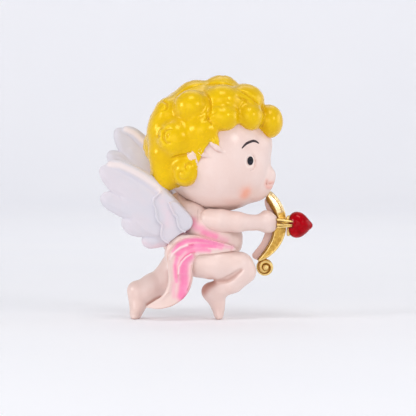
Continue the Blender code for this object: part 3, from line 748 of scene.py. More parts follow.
def sash_height(x, z):
    """How far the folds stand out of the cloth."""
    height = np.zeros(x.shape)
    for path, rise, width in FOLD_RIDGES:
        gap, along, _ = beside(path, x, z)
        ends = smooth_step(0, 0.12, along) * (1 - smooth_step(0.85, 1, along))
        height += rise * ends * np.exp(-(gap / width) ** 2)
    for path, rise, width in FOLD_STEPS:
        gap, along, side = beside(path, x, z)
        ends = smooth_step(0, 0.12, along) * (1 - smooth_step(0.8, 1, along))
        height += rise * ends * smooth_step(-width, width, gap * side) * np.exp(-(gap / 2.6) ** 2)
    return height


def grid_faces(rows, columns):
    """Quads of a grid of points, numbered row by row."""
    corner = np.arange(rows * columns).reshape(rows, columns)[:-1, :-1].ravel()
    return np.stack([corner, corner + 1, corner + columns + 1, corner + columns], axis=1)


def shell(outer, inner):
    """A closed skin from matching grids of outer and inner points."""
    rows, columns = outer.shape[:2]
    total = rows * columns
    points = np.concatenate([outer.reshape(-1, 3), inner.reshape(-1, 3)])
    front = grid_faces(rows, columns)
    rim = np.concatenate([
        np.arange(columns), np.arange(1, rows) * columns + columns - 1,
        (rows - 1) * columns + np.arange(columns - 2, -1, -1), np.arange(rows - 2, 0, -1) * columns,
    ])
    after = np.roll(rim, -1)
    edge = np.stack([after, rim, rim + total, after + total], axis=1)
    return points, np.concatenate([front, front[:, ::-1] + total, edge])


def spread(hem, count):
    """Evenly many points along a rounded hem, keeping its numbered stations in step."""
    curve = rounded(hem, 12, closed=False)
    at = np.linspace(0, len(curve) - 1, count)
    return np.stack([np.interp(at, np.arange(len(curve)), c) for c in curve.T], axis=1)


def hem_to_hem(count):
    """Shares of the way across the cloth, closer together near its hems."""
    return 0.5 - 0.5 * np.cos(np.linspace(0, np.pi, count))


def hem_roll(share, start):
    """0 in the middle of the cloth, rising to 1 at both hems."""
    return np.clip((np.abs(2 * share - 1) - start) / (1 - start), 0, 1)


def turned_in(roll):
    """How far a rounded hem has turned in."""
    return 1 - np.sqrt(1 - 0.999 * roll ** 2)


def make_drape(body):
    """The sash from the belly over the near hip, and its hanging tail."""
    rows, columns = 340, 90
    top, low = spread(TOP_HEM, rows), spread(LOW_HEM, rows)
    share = hem_to_hem(columns)
    flat = top[:, None, :] + share[None, :, None] * (low - top)[:, None, :]
    x, z = flat[:, :, 0], flat[:, :, 1]
    behind = side_of(body, x, z).reshape(x.shape)
    face = stretched(DRAPE_FACE, rows)[:, None]
    start = smooth_step(0, 0.3, np.arange(rows) / rows)[:, None]
    start = start * (1 - 0.65 * smooth_step(0.4, 1, share) * smooth_step(-4.5, -1, x))
    lean = np.minimum(face + 0 * x, behind - 0.75 * start)
    lean = np.where(behind == 0, face, lean)
    lean = soften_grid(lean, 60)
    lean = soften_grid(np.where(behind < -1, np.minimum(lean, behind - 0.45 * start), lean), 6)
    roll = hem_roll(share, 0.86)
    tips = np.minimum(np.arange(rows), np.arange(rows)[::-1])[:, None] / rows
    thick = 1.5 * smooth_step(-0.01, 0.05, tips)
    fall = 0.5 * thick * turned_in(roll)
    height = sash_height(x, z) * (1 - roll) * smooth_step(0, 0.04, tips)
    outer = np.stack([x, lean + fall - height, z], axis=2)
    inner = np.stack([x, lean + thick - fall, z], axis=2)
    points, faces = shell(outer, inner)
    return points, faces, tint(points, PINK_STROKES)


def soften_grid(values, times):
    """A grid of values, averaged with their neighbours several times."""
    for _ in range(times):
        padded = np.pad(values, 1, mode="edge")
        around = padded[:-2, 1:-1] + padded[2:, 1:-1] + padded[1:-1, :-2] + padded[1:-1, 2:]
        values = (4 * values + around) / 8
    return values


PINK_STROKES = [
    ([(-10.6, 22.6), (-9.2, 24.8), (-6.8, 26.1), (-3.5, 26.4), (0, 26.0), (3.0, 25.2)], 1.0, 1.0),
    ([(2.0, 25.3), (5.0, 24.6)], 1.1, 0.8), ([(2.0, 25.0), (8.2, 23.9)], 1.0, 0.5),
    ([(-9.4, 21.8), (-7.4, 23.5), (-4.4, 24.6), (-1, 24.7), (2.6, 24.5)], 1.25, 1.0),
    ([(2.0, 24.4), (4.6, 24.1)], 1.1, 0.75),
    ([(-6.2, 22.6), (-3.0, 23.4), (0.6, 23.3)], 1.2, 0.8),
    ([(-5.9, 21.2), (-7.3, 19.4), (-7.7, 16), (-7.5, 13), (-7.7, 10), (-8.1, 8.2)], 1.9, 1.05),
    ([(-9.7, 20.6), (-10.3, 18), (-10.2, 15.5), (-9.9, 13)], 0.9, 0.85),
    ([(-10.6, 12.5), (-10.9, 10.0), (-10.6, 8.0)], 1.1, 0.45),
]
# Painted highlights along the ridges of the folds.
PAINTED_HIGHLIGHT_STROKES = [
    ([(-12.0, 20.2), (-10.9, 22.2), (-8.8, 23.9), (-6.4, 24.8)], 0.42, 1.0),
    ([(-9.3, 15.5), (-9.1, 17.6), (-8.2, 19.4), (-6.8, 20.9), (-5.2, 21.9)], 0.32, 0.9),
    ([(0.5, 23.7), (3.5, 23.4)], 0.45, 0.55),
]
BELLY_PINK = [
    ([(-1.2, 29.1), (0.6, 28.3), (2.8, 27.5)], 1.5, 0.8), ([(-2.5, 29.8), (6.0, 26.2)], 1.6, 0.45),
    ([(-4.6, 32.4), (-3.6, 30.6), (-1.6, 29.8)], 1.9, 0.6),
    ([(-13.4, 25.6), (-9.5, 28.3), (-6.5, 29.2)], 1.3, 0.5),
]


# Painted shade on the front leg: under the thigh, along the thigh's back edge, in the knee fold and on the
# shin; the fourth stroke is a brown line along the sole.
FRONT_LEG_SHADE_AND_SOLE_LINE = [
    ([(-1.6, 9.4), (-0.2, 11.2), (1.4, 12.4)], 2.0, 0.9),
    ([(-4.3, 20.5), (-4.4, 17.5), (-3.8, 15.0)], 0.9, 0.2),
    ([(2.0, 12.8), (6.5, 13.1), (9.0, 14.6), (11.0, 16.2)], 0.6, 0.5), ([(2.9, -0.2), (5.0, -0.2)], 0.5, 1.0),
    ([(3.0, 9.0), (3.8, 6.0), (4.2, 3.5)], 2.8, 0.2),
]
# Painted shade on the rear leg: where the sash's tail overlaps it, beside the sash's left hem and on the
# foot; the third stroke is a brown line along the sole.
REAR_LEG_SHADE_AND_SOLE_LINE = [
    ([(-19.4, 4.6), (-17.2, 6.2), (-15.4, 7.0)], 0.8, 1.0), ([(-12.7, 12.0), (-12.9, 15.8)], 0.7, 0.35),
    ([(-24.9, -0.2), (-22.3, -0.2)], 0.5, 1.0), ([(-23.8, 8.5), (-23.4, 3.0)], 2.4, 0.2),
]


def tint(points, strokes):
    """The strongest of several airbrush strokes at each point."""
    return np.max([strength * stroke(points, path, width) for path, width, strength in strokes], axis=0)


def make_band(body):
    """The sash behind the waist and over the far hip."""
    turns, columns = 220, 40
    angle = np.radians(np.linspace(-108, -405, turns))[:, None, None]
    share = hem_to_hem(columns)
    along = np.linspace(0, 1, turns)[:, None]
    stations = (0, 0.2, 0.5, 0.7, 0.8, 1)
    high = np.interp(along, stations, (27.6, 27.2, 27.0, 27.2, 23.8, 23.2))
    low = np.interp(along, stations, (23.4, 23.0, 22.6, 21.8, 22.4, 22.3))
    z = (high + share * (low - high))[:, :, None]

    def place(radius):
        """Points at radii from an upright line in the waist, for each angle and height."""
        spots = np.broadcast_arrays(WAIST_X + np.cos(angle) * radius, np.sin(angle) * radius, z)
        return np.stack(spots, axis=-1)

    reach = np.arange(20.0, 2.0, -0.25)
    radius = soften_grid(reach[np.argmax(field_at(body, place(reach)) < 0, axis=2)], 30)
    roll = hem_roll(share, 0.8)
    folds = 0.35 * np.cos(share * 5.2 * np.pi) + 0.12 * np.cos(share * 9 * np.pi + 1)
    folds = folds * (1 - smooth_step(0.6, 0.76, along)) * (1 - roll)
    thick = 0.75 - 0.5 * smooth_step(0.66, 0.78, along)
    out = radius + thick + folds - 0.45 * turned_in(roll)
    outer, inner = (place(radii[:, :, None])[:, :, 0] for radii in (out, radius - 0.6))
    points, faces = shell(outer, inner)
    pink = (1 - smooth_step(0.6, 0.78, along)) * np.exp(-((share - 0.45) / 0.24) ** 2)
    return points, faces[:, ::-1], np.tile(pink.ravel(), 2)


# ---------------------------------------------------------------- bow, arrow and heart

BOW_CENTRE = (12.8, 31.4)
BOW_OUTER = 13.3
BOW_FACE = -1.4
BOW_BACK = 2.6
BOW_ANGLES = (-74, -70, -62, -51, -40, -28, -18, 0, 14, 22, 33, 46, 55)
BOW_INNER = (12.7, 12.1, 11.2, 10.4, 9.85, 9.5, 9.3, 9.3, 9.8, 9.7, 9.6, 9.85, 10.8)
BOW_RIDGE = (13.0, 12.9, 12.8, 12.8, 12.7, 12.6, 12.4, 11.4, 10.7, 10.75, 10.85, 11.2, 11.8)
WEB_ANGLES = (-82, -71, -62, -52, -39, -27, 0, 28, 35, 45, 52)
WEB_INNER = (10.8, 9.4, 8.7, 8.1, 7.4, 6.95, 7.0, 8.3, 8.1, 8.7, 9.8)
SCROLL = (19.05, 16.9)


def bow_inner(angle):
    return np.interp(angle, BOW_ANGLES, BOW_INNER)


def bow_ridge(angle):
    return np.interp(angle, BOW_ANGLES, BOW_RIDGE)


def bow_place(px, pz):
    """The radius and the angle in degrees at which points lie on the bow's circle."""
    dx, dz = px - BOW_CENTRE[0], pz - BOW_CENTRE[1]
    return np.sqrt(dx * dx + dz * dz), np.degrees(np.arctan2(dz, dx))


def bow_band(inner, outer, front, back, low, high, edge):
    """A curved bar between two radii and two Y faces, each of which may change along the bow."""
    def distance(px, py, pz):
        radius, angle = bow_place(px, pz)
        ends = [np.radians(angle - high) * BOW_OUTER, np.radians(low - angle) * BOW_OUTER]
        gaps = [inner(angle) - radius, radius - outer(angle), front(radius, angle) - py, py - back]
        return solid_corner(gaps + ends, edge)

    x, z = BOW_CENTRE
    return Shape(np.array((x + 1, -5.0, z - 14)), np.array((x + 14, 5.0, z + 14)), distance)


def bow_front(radius, angle):
    """The gold face: a broad outer facet and a hollow inner one, meeting in a ridge."""
    inner, ridge = bow_inner(angle), bow_ridge(angle)
    dip = np.clip((ridge - radius) / (ridge - inner), 0, 1.2)
    bevel = np.clip((radius - ridge) / (BOW_OUTER - ridge + 0.01), 0, 1.2)
    upper = smooth_step(-4, 10, angle)
    return BOW_FACE + (0.1 + 0.8 * upper) * dip + (0.1 + 0.9 * upper) * bevel


def make_bow_clay():
    clay = Clay((12.5, -3.2, 13.2), (27.5, 3.6, 43.2), 0.15)

    def rim(angle):
        return BOW_OUTER + 0 * angle

    def web_inner(angle):
        return np.interp(angle, WEB_ANGLES, WEB_INNER)

    def web_rim(angle):
        return np.interp(angle, (-79, -74, -68), (11.6, 12.5, BOW_OUTER))

    def web_front(radius, angle):
        return 0.2 + 0 * radius

    clay.add(bow_band(bow_inner, rim, bow_front, BOW_BACK, -72, 53, 0.3), 0)
    clay.add(bow_band(web_inner, web_rim, web_front, BOW_BACK, -79, 51, 0.3), 0.1)
    for low, high, size in ((-58, -14, 0.2), (18, 50, 0.18)):
        arc = [bow_point(angle, 12.98) for angle in np.linspace(low, high, 16)]
        add_strand(clay, arc, [size] * 16, 0.2)
    arc = [bow_point(angle, bow_inner(angle) + 0.2) for angle in np.linspace(-72, -14, 24)]
    carve_line(clay, arc, 0.28, 0.15)
    clay.add(scroll_shape(), 0.4)
    x, z = SCROLL
    clay.add(ball(x + 0.2, BOW_FACE - 0.35, z + 0.1, 0.95, 0.7, 0.95), 0.15)
    return clay


def bow_point(angle, radius):
    """A point just under the bow's gold face."""
    turn = math.radians(angle)
    x, z = BOW_CENTRE
    return x + radius * math.cos(turn), BOW_FACE + 0.1, z + radius * math.sin(turn)


def scroll_shape():
    """The rolled tip: a disc whose face is wound with a spiral valley."""
    x, z = SCROLL

    def distance(px, py, pz):
        dx, dz = px - x, pz - z
        spread, turn = np.sqrt(dx * dx + dz * dz), np.arctan2(dz, dx)
        edge = 2.75 + 0.12 * np.cos(turn - 2.4)
        wind = 2 * math.pi * spread / 1.9 + turn + 1.6
        valley = 0.6 * (1 - np.abs(np.sin(wind / 2))) ** 1.2 * smooth_step(0.6, 1.0, spread)
        crown = 0.35 * smooth_step(2.0, 2.9, spread)
        return solid_corner([spread - edge, BOW_FACE - 0.2 + valley + crown - py, py - BOW_BACK + 0.7], 0.35)

    return Shape(np.array((x - 3.2, -3.0, z - 3.2)), np.array((x + 3.2, 3.0, z + 3.2)), distance)


ARROW_Y = -3.1
ARROW_Z = 31.9
ARROW_PROFILE = [(10.6, 0.9), (22.0, 0.95), (22.6, 1.35), (24.0, 1.25), (26.0, 1.2), (27.4, 1.1)]


def make_arrow_clay():
    clay = Clay((9.8, -7.0, 27.0), (31.2, 1.4, 37.2), 0.15)
    for (x, size), (next_x, next_size) in zip(ARROW_PROFILE, ARROW_PROFILE[1:]):
        clay.add_limbs([(x, ARROW_Y, ARROW_Z, size), (next_x, ARROW_Y, ARROW_Z - 0.15, next_size)], 0.1)
    for high, size in ((32.75, 0.42), (31.0, 0.36), (30.25, 0.3)):
        clay.add_limbs([(22.9, ARROW_Y - 1.1, high, size),
                        (28.0, ARROW_Y - 2.1, 0.6 * high + 12.5, 0.8 * size)], 0.12)
    clay.carve(limb((23.1, ARROW_Y - 1.5, 31.85, 0.4), (26.8, ARROW_Y - 1.5, 31.8, 0.2)), 0.1)
    clay.add(collar_shape(), 0.25)
    clay.add_limbs([(27, ARROW_Y, 31.2, 0.6), (30.4, ARROW_Y, 31.2, 0.6)], 0)
    return clay


def collar_shape():
    """The cusped plate behind the heart."""
    outline = rounded([(25.9, 33.2), (26.5, 34.1), (27.3, 34.0), (27.7, 33.0), (28.2, 31.9), (28.3, 30.6),
                       (27.8, 29.4), (27.5, 28.2), (26.9, 27.4), (26.2, 27.5), (26.0, 28.8), (26.3, 31.0)])
    return plate(outline, lambda x, z: ARROW_Y + 0 * x, 0.8, 0.4, 0.3, 1.0)


def flattened(shape, y, share):
    """The shape squeezed in Y about a plane."""
    low, high = shape.low.copy(), shape.high.copy()
    low[1], high[1] = y + (low[1] - y) * share, y + (high[1] - y) * share
    return Shape(low, high, lambda px, py, pz: shape.distance(px, y + (py - y) / share, pz) * share ** 0.5)


def make_heart_clay():
    clay = Clay((25.6, -7.2, 25.6), (35.6, 1.0, 36.6), 0.15)
    for x, z, size in ((29.4, 32.55, 2.8), (29.3, 29.6, 2.85), (30.4, 31.0, 3.3)):
        clay.add(flattened(ball(x, ARROW_Y, z, size), ARROW_Y, 0.92), 1.0)
    clay.add(flattened(limb((31.0, ARROW_Y, 31.0, 3.0), (33.6, ARROW_Y, 30.85, 0.9)), ARROW_Y, 0.92), 1.4)
    return clay


# ---------------------------------------------------------------- paints

class Paint:
    """A node material, built up in layers over a ground colour. Places are in millimetres."""

    def __init__(self, name, colour, **sockets):
        self.material = bpy.data.materials.new(name)
        self.material.use_nodes = True
        self.tree = self.material.node_tree
        self.shader = self.tree.nodes["Principled BSDF"]
        self.colour = colour
        for key, value in sockets.items():
            self.put(self.shader.inputs[key.replace("_", " ")], value)
        place = self.node("TexCoord").outputs["Object"]
        self.place = self.node("VectorMath", {0: place, "Scale": 1 / MM}, operation="SCALE").outputs[0]

    def put(self, socket, value):
        if isinstance(value, bpy.types.NodeSocket):
            self.tree.links.new(value, socket)
        else:
            socket.default_value = value

    def node(self, kind, inputs=None, **settings):
        """A new shader node, with its settings and what goes into its sockets."""
        node = self.tree.nodes.new("ShaderNode" + kind)
        for key, value in settings.items():
            setattr(node, key, value)
        for key, value in (inputs or {}).items():
            self.put(node.inputs[key], value)
        return node

    def number(self, operation, a, b, c=0.0, clamp=False):
        """The result of arithmetic on numbers."""
        return self.node("Math", {0: a, 1: b, 2: c}, operation=operation, use_clamp=clamp).outputs[0]

    def attribute(self, name):
        return self.node("Attribute", attribute_name=name).outputs["Fac"]

    def noise(self, scale, detail=3.0, rough=0.55, stretch=None):
        place = self.place
        if stretch:
            place = self.node("Mapping", {"Vector": place, "Scale": stretch}).outputs[0]
        inputs = {"Vector": place, "Scale": scale, "Detail": detail, "Roughness": rough}
        return self.node("TexNoise", inputs).outputs["Fac"]

    def ramp(self, value, low, high, first=0.0, last=1.0):
        """A smooth change from first to last as value passes from low to high."""
        inputs = {"Value": value, "From Min": low, "From Max": high, "To Min": first, "To Max": last}
        return self.node("MapRange", inputs, interpolation_type="SMOOTHSTEP").outputs["Result"]

    def layer(self, value, low, high, share, tint):
        """Covers the colour with up to a share of a tint, as a value or named number passes low to high."""
        if isinstance(value, str):
            value = self.attribute(value)
        inputs = {"Factor": self.ramp(value, low, high, 0.0, share), "A": self.colour, "B": tint}
        self.colour = self.node("Mix", inputs, data_type="RGBA").outputs["Result"]

    def broken(self, name, operation, grain, first, last):
        """A named number, made uneven by a noise."""
        return self.number(operation, self.attribute(name), self.ramp(grain, 0.2, 0.8, first, last))

    def bump(self, height, depth):
        """Relief of the given depth in millimetres for a height from 0 to 1, over any put on before."""
        normal = self.shader.inputs["Normal"]
        node = self.node("Bump", {"Height": height, "Strength": 1.0, "Distance": depth * MM})
        if normal.is_linked:
            self.put(node.inputs["Normal"], normal.links[0].from_socket)
        self.put(normal, node.outputs[0])

    def finish(self, gloss, low, high):
        """The finished material, its roughness going from low to high with a noise."""
        self.put(self.shader.inputs["Base Color"], self.colour)
        self.put(self.shader.inputs["Roughness"], self.ramp(gloss, 0.3, 0.7, low, high))
        return self.material


def linear(red, green, blue):
    """A paint colour given as 0-255 screen values."""
    values = [v / 255 for v in (red, green, blue)]
    return tuple(v / 12.92 if v <= 0.04045 else ((v + 0.055) / 1.055) ** 2.4 for v in values) + (1.0,)


FLESH = linear(238, 213, 204)
FLESH_WARM = linear(234, 202, 190)
# Brown for painted shade where castings touch and in creases; the face's drawn mouth lines use it too.
CREASE = linear(150, 98, 82)
BLUSH = linear(245, 160, 126)
LIP = linear(240, 164, 146)
PINK = linear(248, 124, 174)
PINK_LIGHT = linear(255, 165, 200)


def flesh_paint(name, pinks=False, face=False):
    """Sprayed flesh paint with soft mottling, and painted shade: warmer in hollows, brown in seams and
    creases.
    """
    paint = Paint(name, FLESH, Specular_IOR_Level=0.5, Coat_Weight=0.45, Coat_Roughness=0.2)
    paint.layer(paint.noise(0.11, 4.0), 0.35, 0.68, 0.5, FLESH_WARM)
    paint.layer(paint.noise(1.3), 0.4, 0.75, 0.12, linear(246, 222, 212))
    # painted shade: warmer and darker in the hollows
    paint.layer("cavity", 0.06, 0.3, 0.35, linear(208, 154, 134))
    # painted shade where castings touch and in creases, broken by a noise; on the face the drawn mouth lines
    # ride on it too
    seam = paint.attribute("seam")
    uneven = paint.number("MULTIPLY_ADD", paint.noise(0.5), 0.5, -0.25)
    wash = paint.number("ADD", seam, uneven, clamp=True)
    paint.layer(paint.number("MULTIPLY", wash, seam), 0.35, 1.0, 0.7, CREASE)
    # painted shade from the leg stroke tables, with the brown sole lines
    paint.layer("wash", 0.0, 1.0, 0.8, linear(190, 128, 108))
    if face:
        paint.layer(paint.broken("blush", "MULTIPLY", paint.noise(0.45), 0.8, 1.1), 0.03, 1.0, 0.8, BLUSH)
        paint.layer("lip", 0.0, 1.0, 0.65, LIP)
        # painted highlight on the rim round each eye
        paint.layer("pale", 0.1, 1.0, 0.55, linear(250, 232, 222))
        overpaint = paint.broken("spill", "ADD", paint.noise(1.6, 4.0), -0.35, 0.35)
        paint.layer(overpaint, 0.52, 0.6, 1.0, HAIR_YELLOW)
    if pinks:
        paint.layer(paint.broken("pink", "MULTIPLY", paint.noise(0.5, 4.0), 0.9, 1.05), 0.0, 1.0, 0.95, PINK)
    paint.bump(paint.noise(0.55), 0.10)
    paint.bump(paint.noise(4.0, 4.0), 0.012)
    return paint.finish(paint.noise(0.7, 4.0), 0.36, 0.52)


HAIR_YELLOW = linear(233, 190, 4)
HAIR_VALLEY_SHADE = linear(205, 148, 0)


def hair_paint():
    """Thick yellow enamel chipped along its edge, with painted highlights on the crowns and ochre painted
    shade in the valleys.
    """
    paint = Paint("hair_enamel", HAIR_YELLOW, Specular_IOR_Level=0.9, Specular_Tint=linear(255, 210, 40),
                  Coat_Weight=0.28, Coat_Roughness=0.18)
    paint.layer(paint.noise(0.22, 4.0), 0.35, 0.65, 1.0, linear(228, 182, 4))
    # painted shade, ochre in the valleys, and painted highlight, lighter yellow on the crowns
    paint.layer("cavity", 0.03, 0.3, 0.5, HAIR_VALLEY_SHADE)
    paint.layer("cavity", -0.04, -0.16, 0.3, linear(246, 214, 40))
    paint.layer(paint.broken("bare", "ADD", paint.noise(1.4, 5.0, 0.65), -0.4, 0.4), 0.55, 0.62, 1.0, FLESH)
    chips = paint.number("MULTIPLY", paint.attribute("edge"), paint.ramp(paint.noise(2.6, 2.0), 0.62, 0.66))
    paint.layer(chips, 0.3, 0.5, 1.0, linear(250, 244, 230))
    paint.bump(paint.noise(0.3, 2.0), 0.02)
    return paint.finish(paint.noise(0.3), 0.22, 0.3)


def wing_paint():
    """White paint with a breath of lilac and rose and brush drag, a warm painted highlight along the leading
    edge and painted shade in the grooves.
    """
    paint = Paint("wing_white", linear(215, 211, 218), Specular_IOR_Level=0.45)
    paint.layer(paint.noise(0.13, 4.0), 0.35, 0.65, 1.0, linear(219, 211, 217))
    cloud = paint.ramp(paint.noise(0.3, 4.0), 0.25, 0.75, 0.5, 1.1)
    rose = paint.number("MULTIPLY", paint.attribute("rose"), cloud)
    paint.layer(rose, 0.05, 1.0, 0.6, linear(238, 205, 212))
    # painted highlight along the leading edge
    paint.layer("cream", 0.1, 0.95, 0.7, linear(242, 226, 219))
    # painted shade in the grooves
    paint.layer("cavity", 0.03, 0.3, 0.3, linear(206, 202, 216))
    drag = paint.noise(0.9, 4.0, 0.6, (0.35, 1.0, 1.0))
    paint.bump(drag, 0.05)
    paint.bump(paint.noise(3.5), 0.012)
    return paint.finish(drag, 0.36, 0.55)


def sash_paint():
    """Airbrushed hot pink fading out to flesh at the hems, with painted shade darker in the folds and brown
    where the cloth meets the body, and painted highlights on the fold ridges.
    """
    paint = Paint("sash_airbrush", PINK, Specular_IOR_Level=0.5, Coat_Weight=0.4, Coat_Roughness=0.15)
    paint.layer(paint.noise(0.4), 0.35, 0.7, 0.5, PINK_LIGHT)
    # painted shade: darker pink in the folds
    paint.layer("cavity", 0.06, 0.3, 0.6, linear(224, 70, 128))
    pink, paint.colour = paint.colour, FLESH
    paint.layer(paint.noise(0.12, 4.0), 0.35, 0.68, 0.4, FLESH_WARM)
    # painted shade in the folds of the flesh-coloured hems
    paint.layer("cavity", 0.06, 0.3, 0.4, linear(208, 150, 134))
    # painted shade in brown where the cloth touches the body
    paint.layer("seam", 0.3, 1.0, 0.6, CREASE)
    paint.layer(paint.broken("pink", "MULTIPLY", paint.noise(0.5, 4.0), 0.92, 1.05), 0.0, 1.0, 0.97, pink)
    # painted highlight on the fold ridges
    paint.layer("pale", 0.1, 1.0, 0.9, linear(250, 222, 222))
    paint.bump(paint.noise(0.8), 0.06)
    paint.bump(paint.noise(4.5), 0.012)
    return paint.finish(paint.noise(0.8, 4.0), 0.3, 0.44)


def gold_paint():
    """Gold leaf paint with painted shade, brown in the hollows, and painted highlights, bright on the edges.
    """
    paint = Paint("gold_leaf", linear(222, 178, 84), Metallic=0.85, Specular_IOR_Level=0.6,
                  Coat_Weight=0.35, Coat_Roughness=0.12)
    paint.layer(paint.noise(0.9, 4.0), 0.35, 0.65, 1.0, linear(196, 148, 58))
    # painted shade: brown in the hollows
    wash = paint.number("MULTIPLY_ADD", paint.noise(2.4, 4.0), 0.1, paint.attribute("cavity"))
    paint.layer(wash, 0.1, 0.34, 0.8, linear(124, 76, 20))
    # painted highlight on the bulges and edges
    paint.layer("cavity", -0.05, -0.3, 0.7, linear(248, 222, 150))
    # painted shade at the bow's inner edge and where the arrow meets hand, bow and heart
    paint.layer("wash", 0.3, 1.0, 0.6, linear(130, 80, 20))
    # painted highlight on the outer facet of the upper limb
    paint.layer("pale", 0.2, 0.9, 0.6, linear(252, 236, 196))
    paint.layer("flesh", 0.45, 0.55, 1.0, linear(228, 190, 178))
    paint.put(paint.shader.inputs["Metallic"], paint.ramp(paint.attribute("flesh"), 0.45, 0.55, 0.85, 0.0))
    paint.bump(paint.noise(1.6), 0.03)
    pits = paint.node("TexVoronoi", {"Vector": paint.place, "Scale": 3.2})
    paint.bump(pits.outputs["Distance"], 0.006)
    return paint.finish(paint.noise(1.8, 4.0), 0.24, 0.42)


def heart_paint():
    """Deep red enamel under a clear coat."""
    paint = Paint("heart_enamel", linear(180, 0, 18), Specular_IOR_Level=0.3,
                  Specular_Tint=linear(255, 60, 80), Coat_Weight=0.16, Coat_Roughness=0.05)
    paint.layer(paint.noise(0.35), 0.35, 0.65, 1.0, linear(152, 0, 10))
    # painted shade in the hollows and where the heart meets the arrow
    paint.layer("cavity", 0.02, 0.2, 0.8, linear(96, 0, 8))
    paint.layer("seam", 0.3, 1.0, 0.8, linear(110, 20, 16))
    paint.bump(paint.noise(0.6, 2.0), 0.05)
    return paint.finish(paint.noise(1.2), 0.12, 0.2)


def eye_paint():
    paint = Paint("eye_black", linear(6, 5, 9), Specular_IOR_Level=0.4, Coat_Weight=0.3, Coat_Roughness=0.03)
    paint.layer(paint.noise(0.9, 2.0), 0.4, 0.62, 1.0, linear(20, 19, 36))
    paint.bump(paint.noise(1.5, 2.0), 0.02)
    return paint.finish(paint.noise(1.4, 2.0), 0.05, 0.12)


def brow_paint():
    paint = Paint("brow_brown", linear(40, 24, 30), Specular_IOR_Level=0.4)
    paint.layer(paint.noise(3.0), 0.35, 0.65, 1.0, linear(66, 46, 50))
    paint.bump(paint.noise(5.0, 2.0), 0.02)
    return paint.finish(paint.noise(2.0), 0.35, 0.55)


def steel_paint():
    paint = Paint("steel_wire", linear(176, 178, 182), Metallic=1.0)
    drawn = paint.noise(3.0, 4.0, 0.6, (1.0, 0.15, 1.0))
    paint.layer(drawn, 0.3, 0.7, 1.0, linear(140, 142, 148))
    paint.bump(drawn, 0.02)
    return paint.finish(drawn, 0.25, 0.5)


# ---------------------------------------------------------------- small painted details

def raised_patch(name, clay, centre, outline, lift):
    """A thin dome of paint on a clay, its outline given along and up the surface from centre."""
    right, over = directions(clay.slope(centre[None])[0])
    rings, sides = 9, len(outline)
    points = []
    for ring in range(1, rings + 1):
        share = math.sin(0.5 * math.pi * ring / rings)
        flat = centre + share * (outline[:, :1] * right + outline[:, 1:] * over)
        points.append(clay.settle(flat, lift * math.sqrt(max(1 - share * share, 0)) - 0.02))
    top = clay.settle([centre], lift - 0.02)
    points = np.concatenate([*points, clay.settle(points[-1], -0.25), top, clay.settle(top, -0.25)])
    faces = ring_faces(rings, sides)
    base = rings * sides
    crown = base + sides
    for i in range(sides):
        after = (i + 1) % sides
        faces += [(crown, i, after), (crown + 1, base + after, base + i)]
    return small_mesh(name, points, faces)


def brow_mesh(name, clay, points, half_widths, lift):
    """A stroke of paint along points on a clay."""
    points = rounded(points, closed=False)
    out = clay.slope(points)
    across = np.cross(np.gradient(points, axis=0), out)
    across = across / np.linalg.norm(across, axis=1, keepdims=True)
    sides = 12
    turn = np.linspace(0, 2 * np.pi, sides, endpoint=False)[:, None]
    rings = [point + width * np.cos(turn) * cross + lift * np.sin(turn) * away
             for point, width, away, cross in zip(points, stretched(half_widths, len(points)), out, across)]
    last = sides * len(points) - 1
    ends = [tuple(range(sides)), tuple(range(last, last - sides, -1))]
    return small_mesh(name, np.concatenate(rings), ring_faces(len(points) - 1, sides) + ends)


# ---------------------------------------------------------------- putting it together

LIP_STROKES = [
    ([(20.3, 44.8), (21.6, 44.8)], 0.9, 0.8), ([(19.7, 43.6), (20.8, 43.3)], 0.8, 1.0),
    ([(19.4, 45.6), (19.1, 44.4)], 0.8, 0.7),
]
MOUTH_LINES = [
    ([(19.35, 44.75), (19.45, 44.35)], 0.32, 1.3), ([(19.5, 45.6), (19.4, 43.6)], 0.22, 0.85),
    ([(19.5, 44.5), (20.8, 44.55)], 0.2, 0.8),
]


def seam_of(points, *others, reach=0.7):
    """1 where another casting touches, falling to 0 a little way off."""
    return np.exp(-(np.maximum(field_at(others, points), 0) / reach) ** 2)


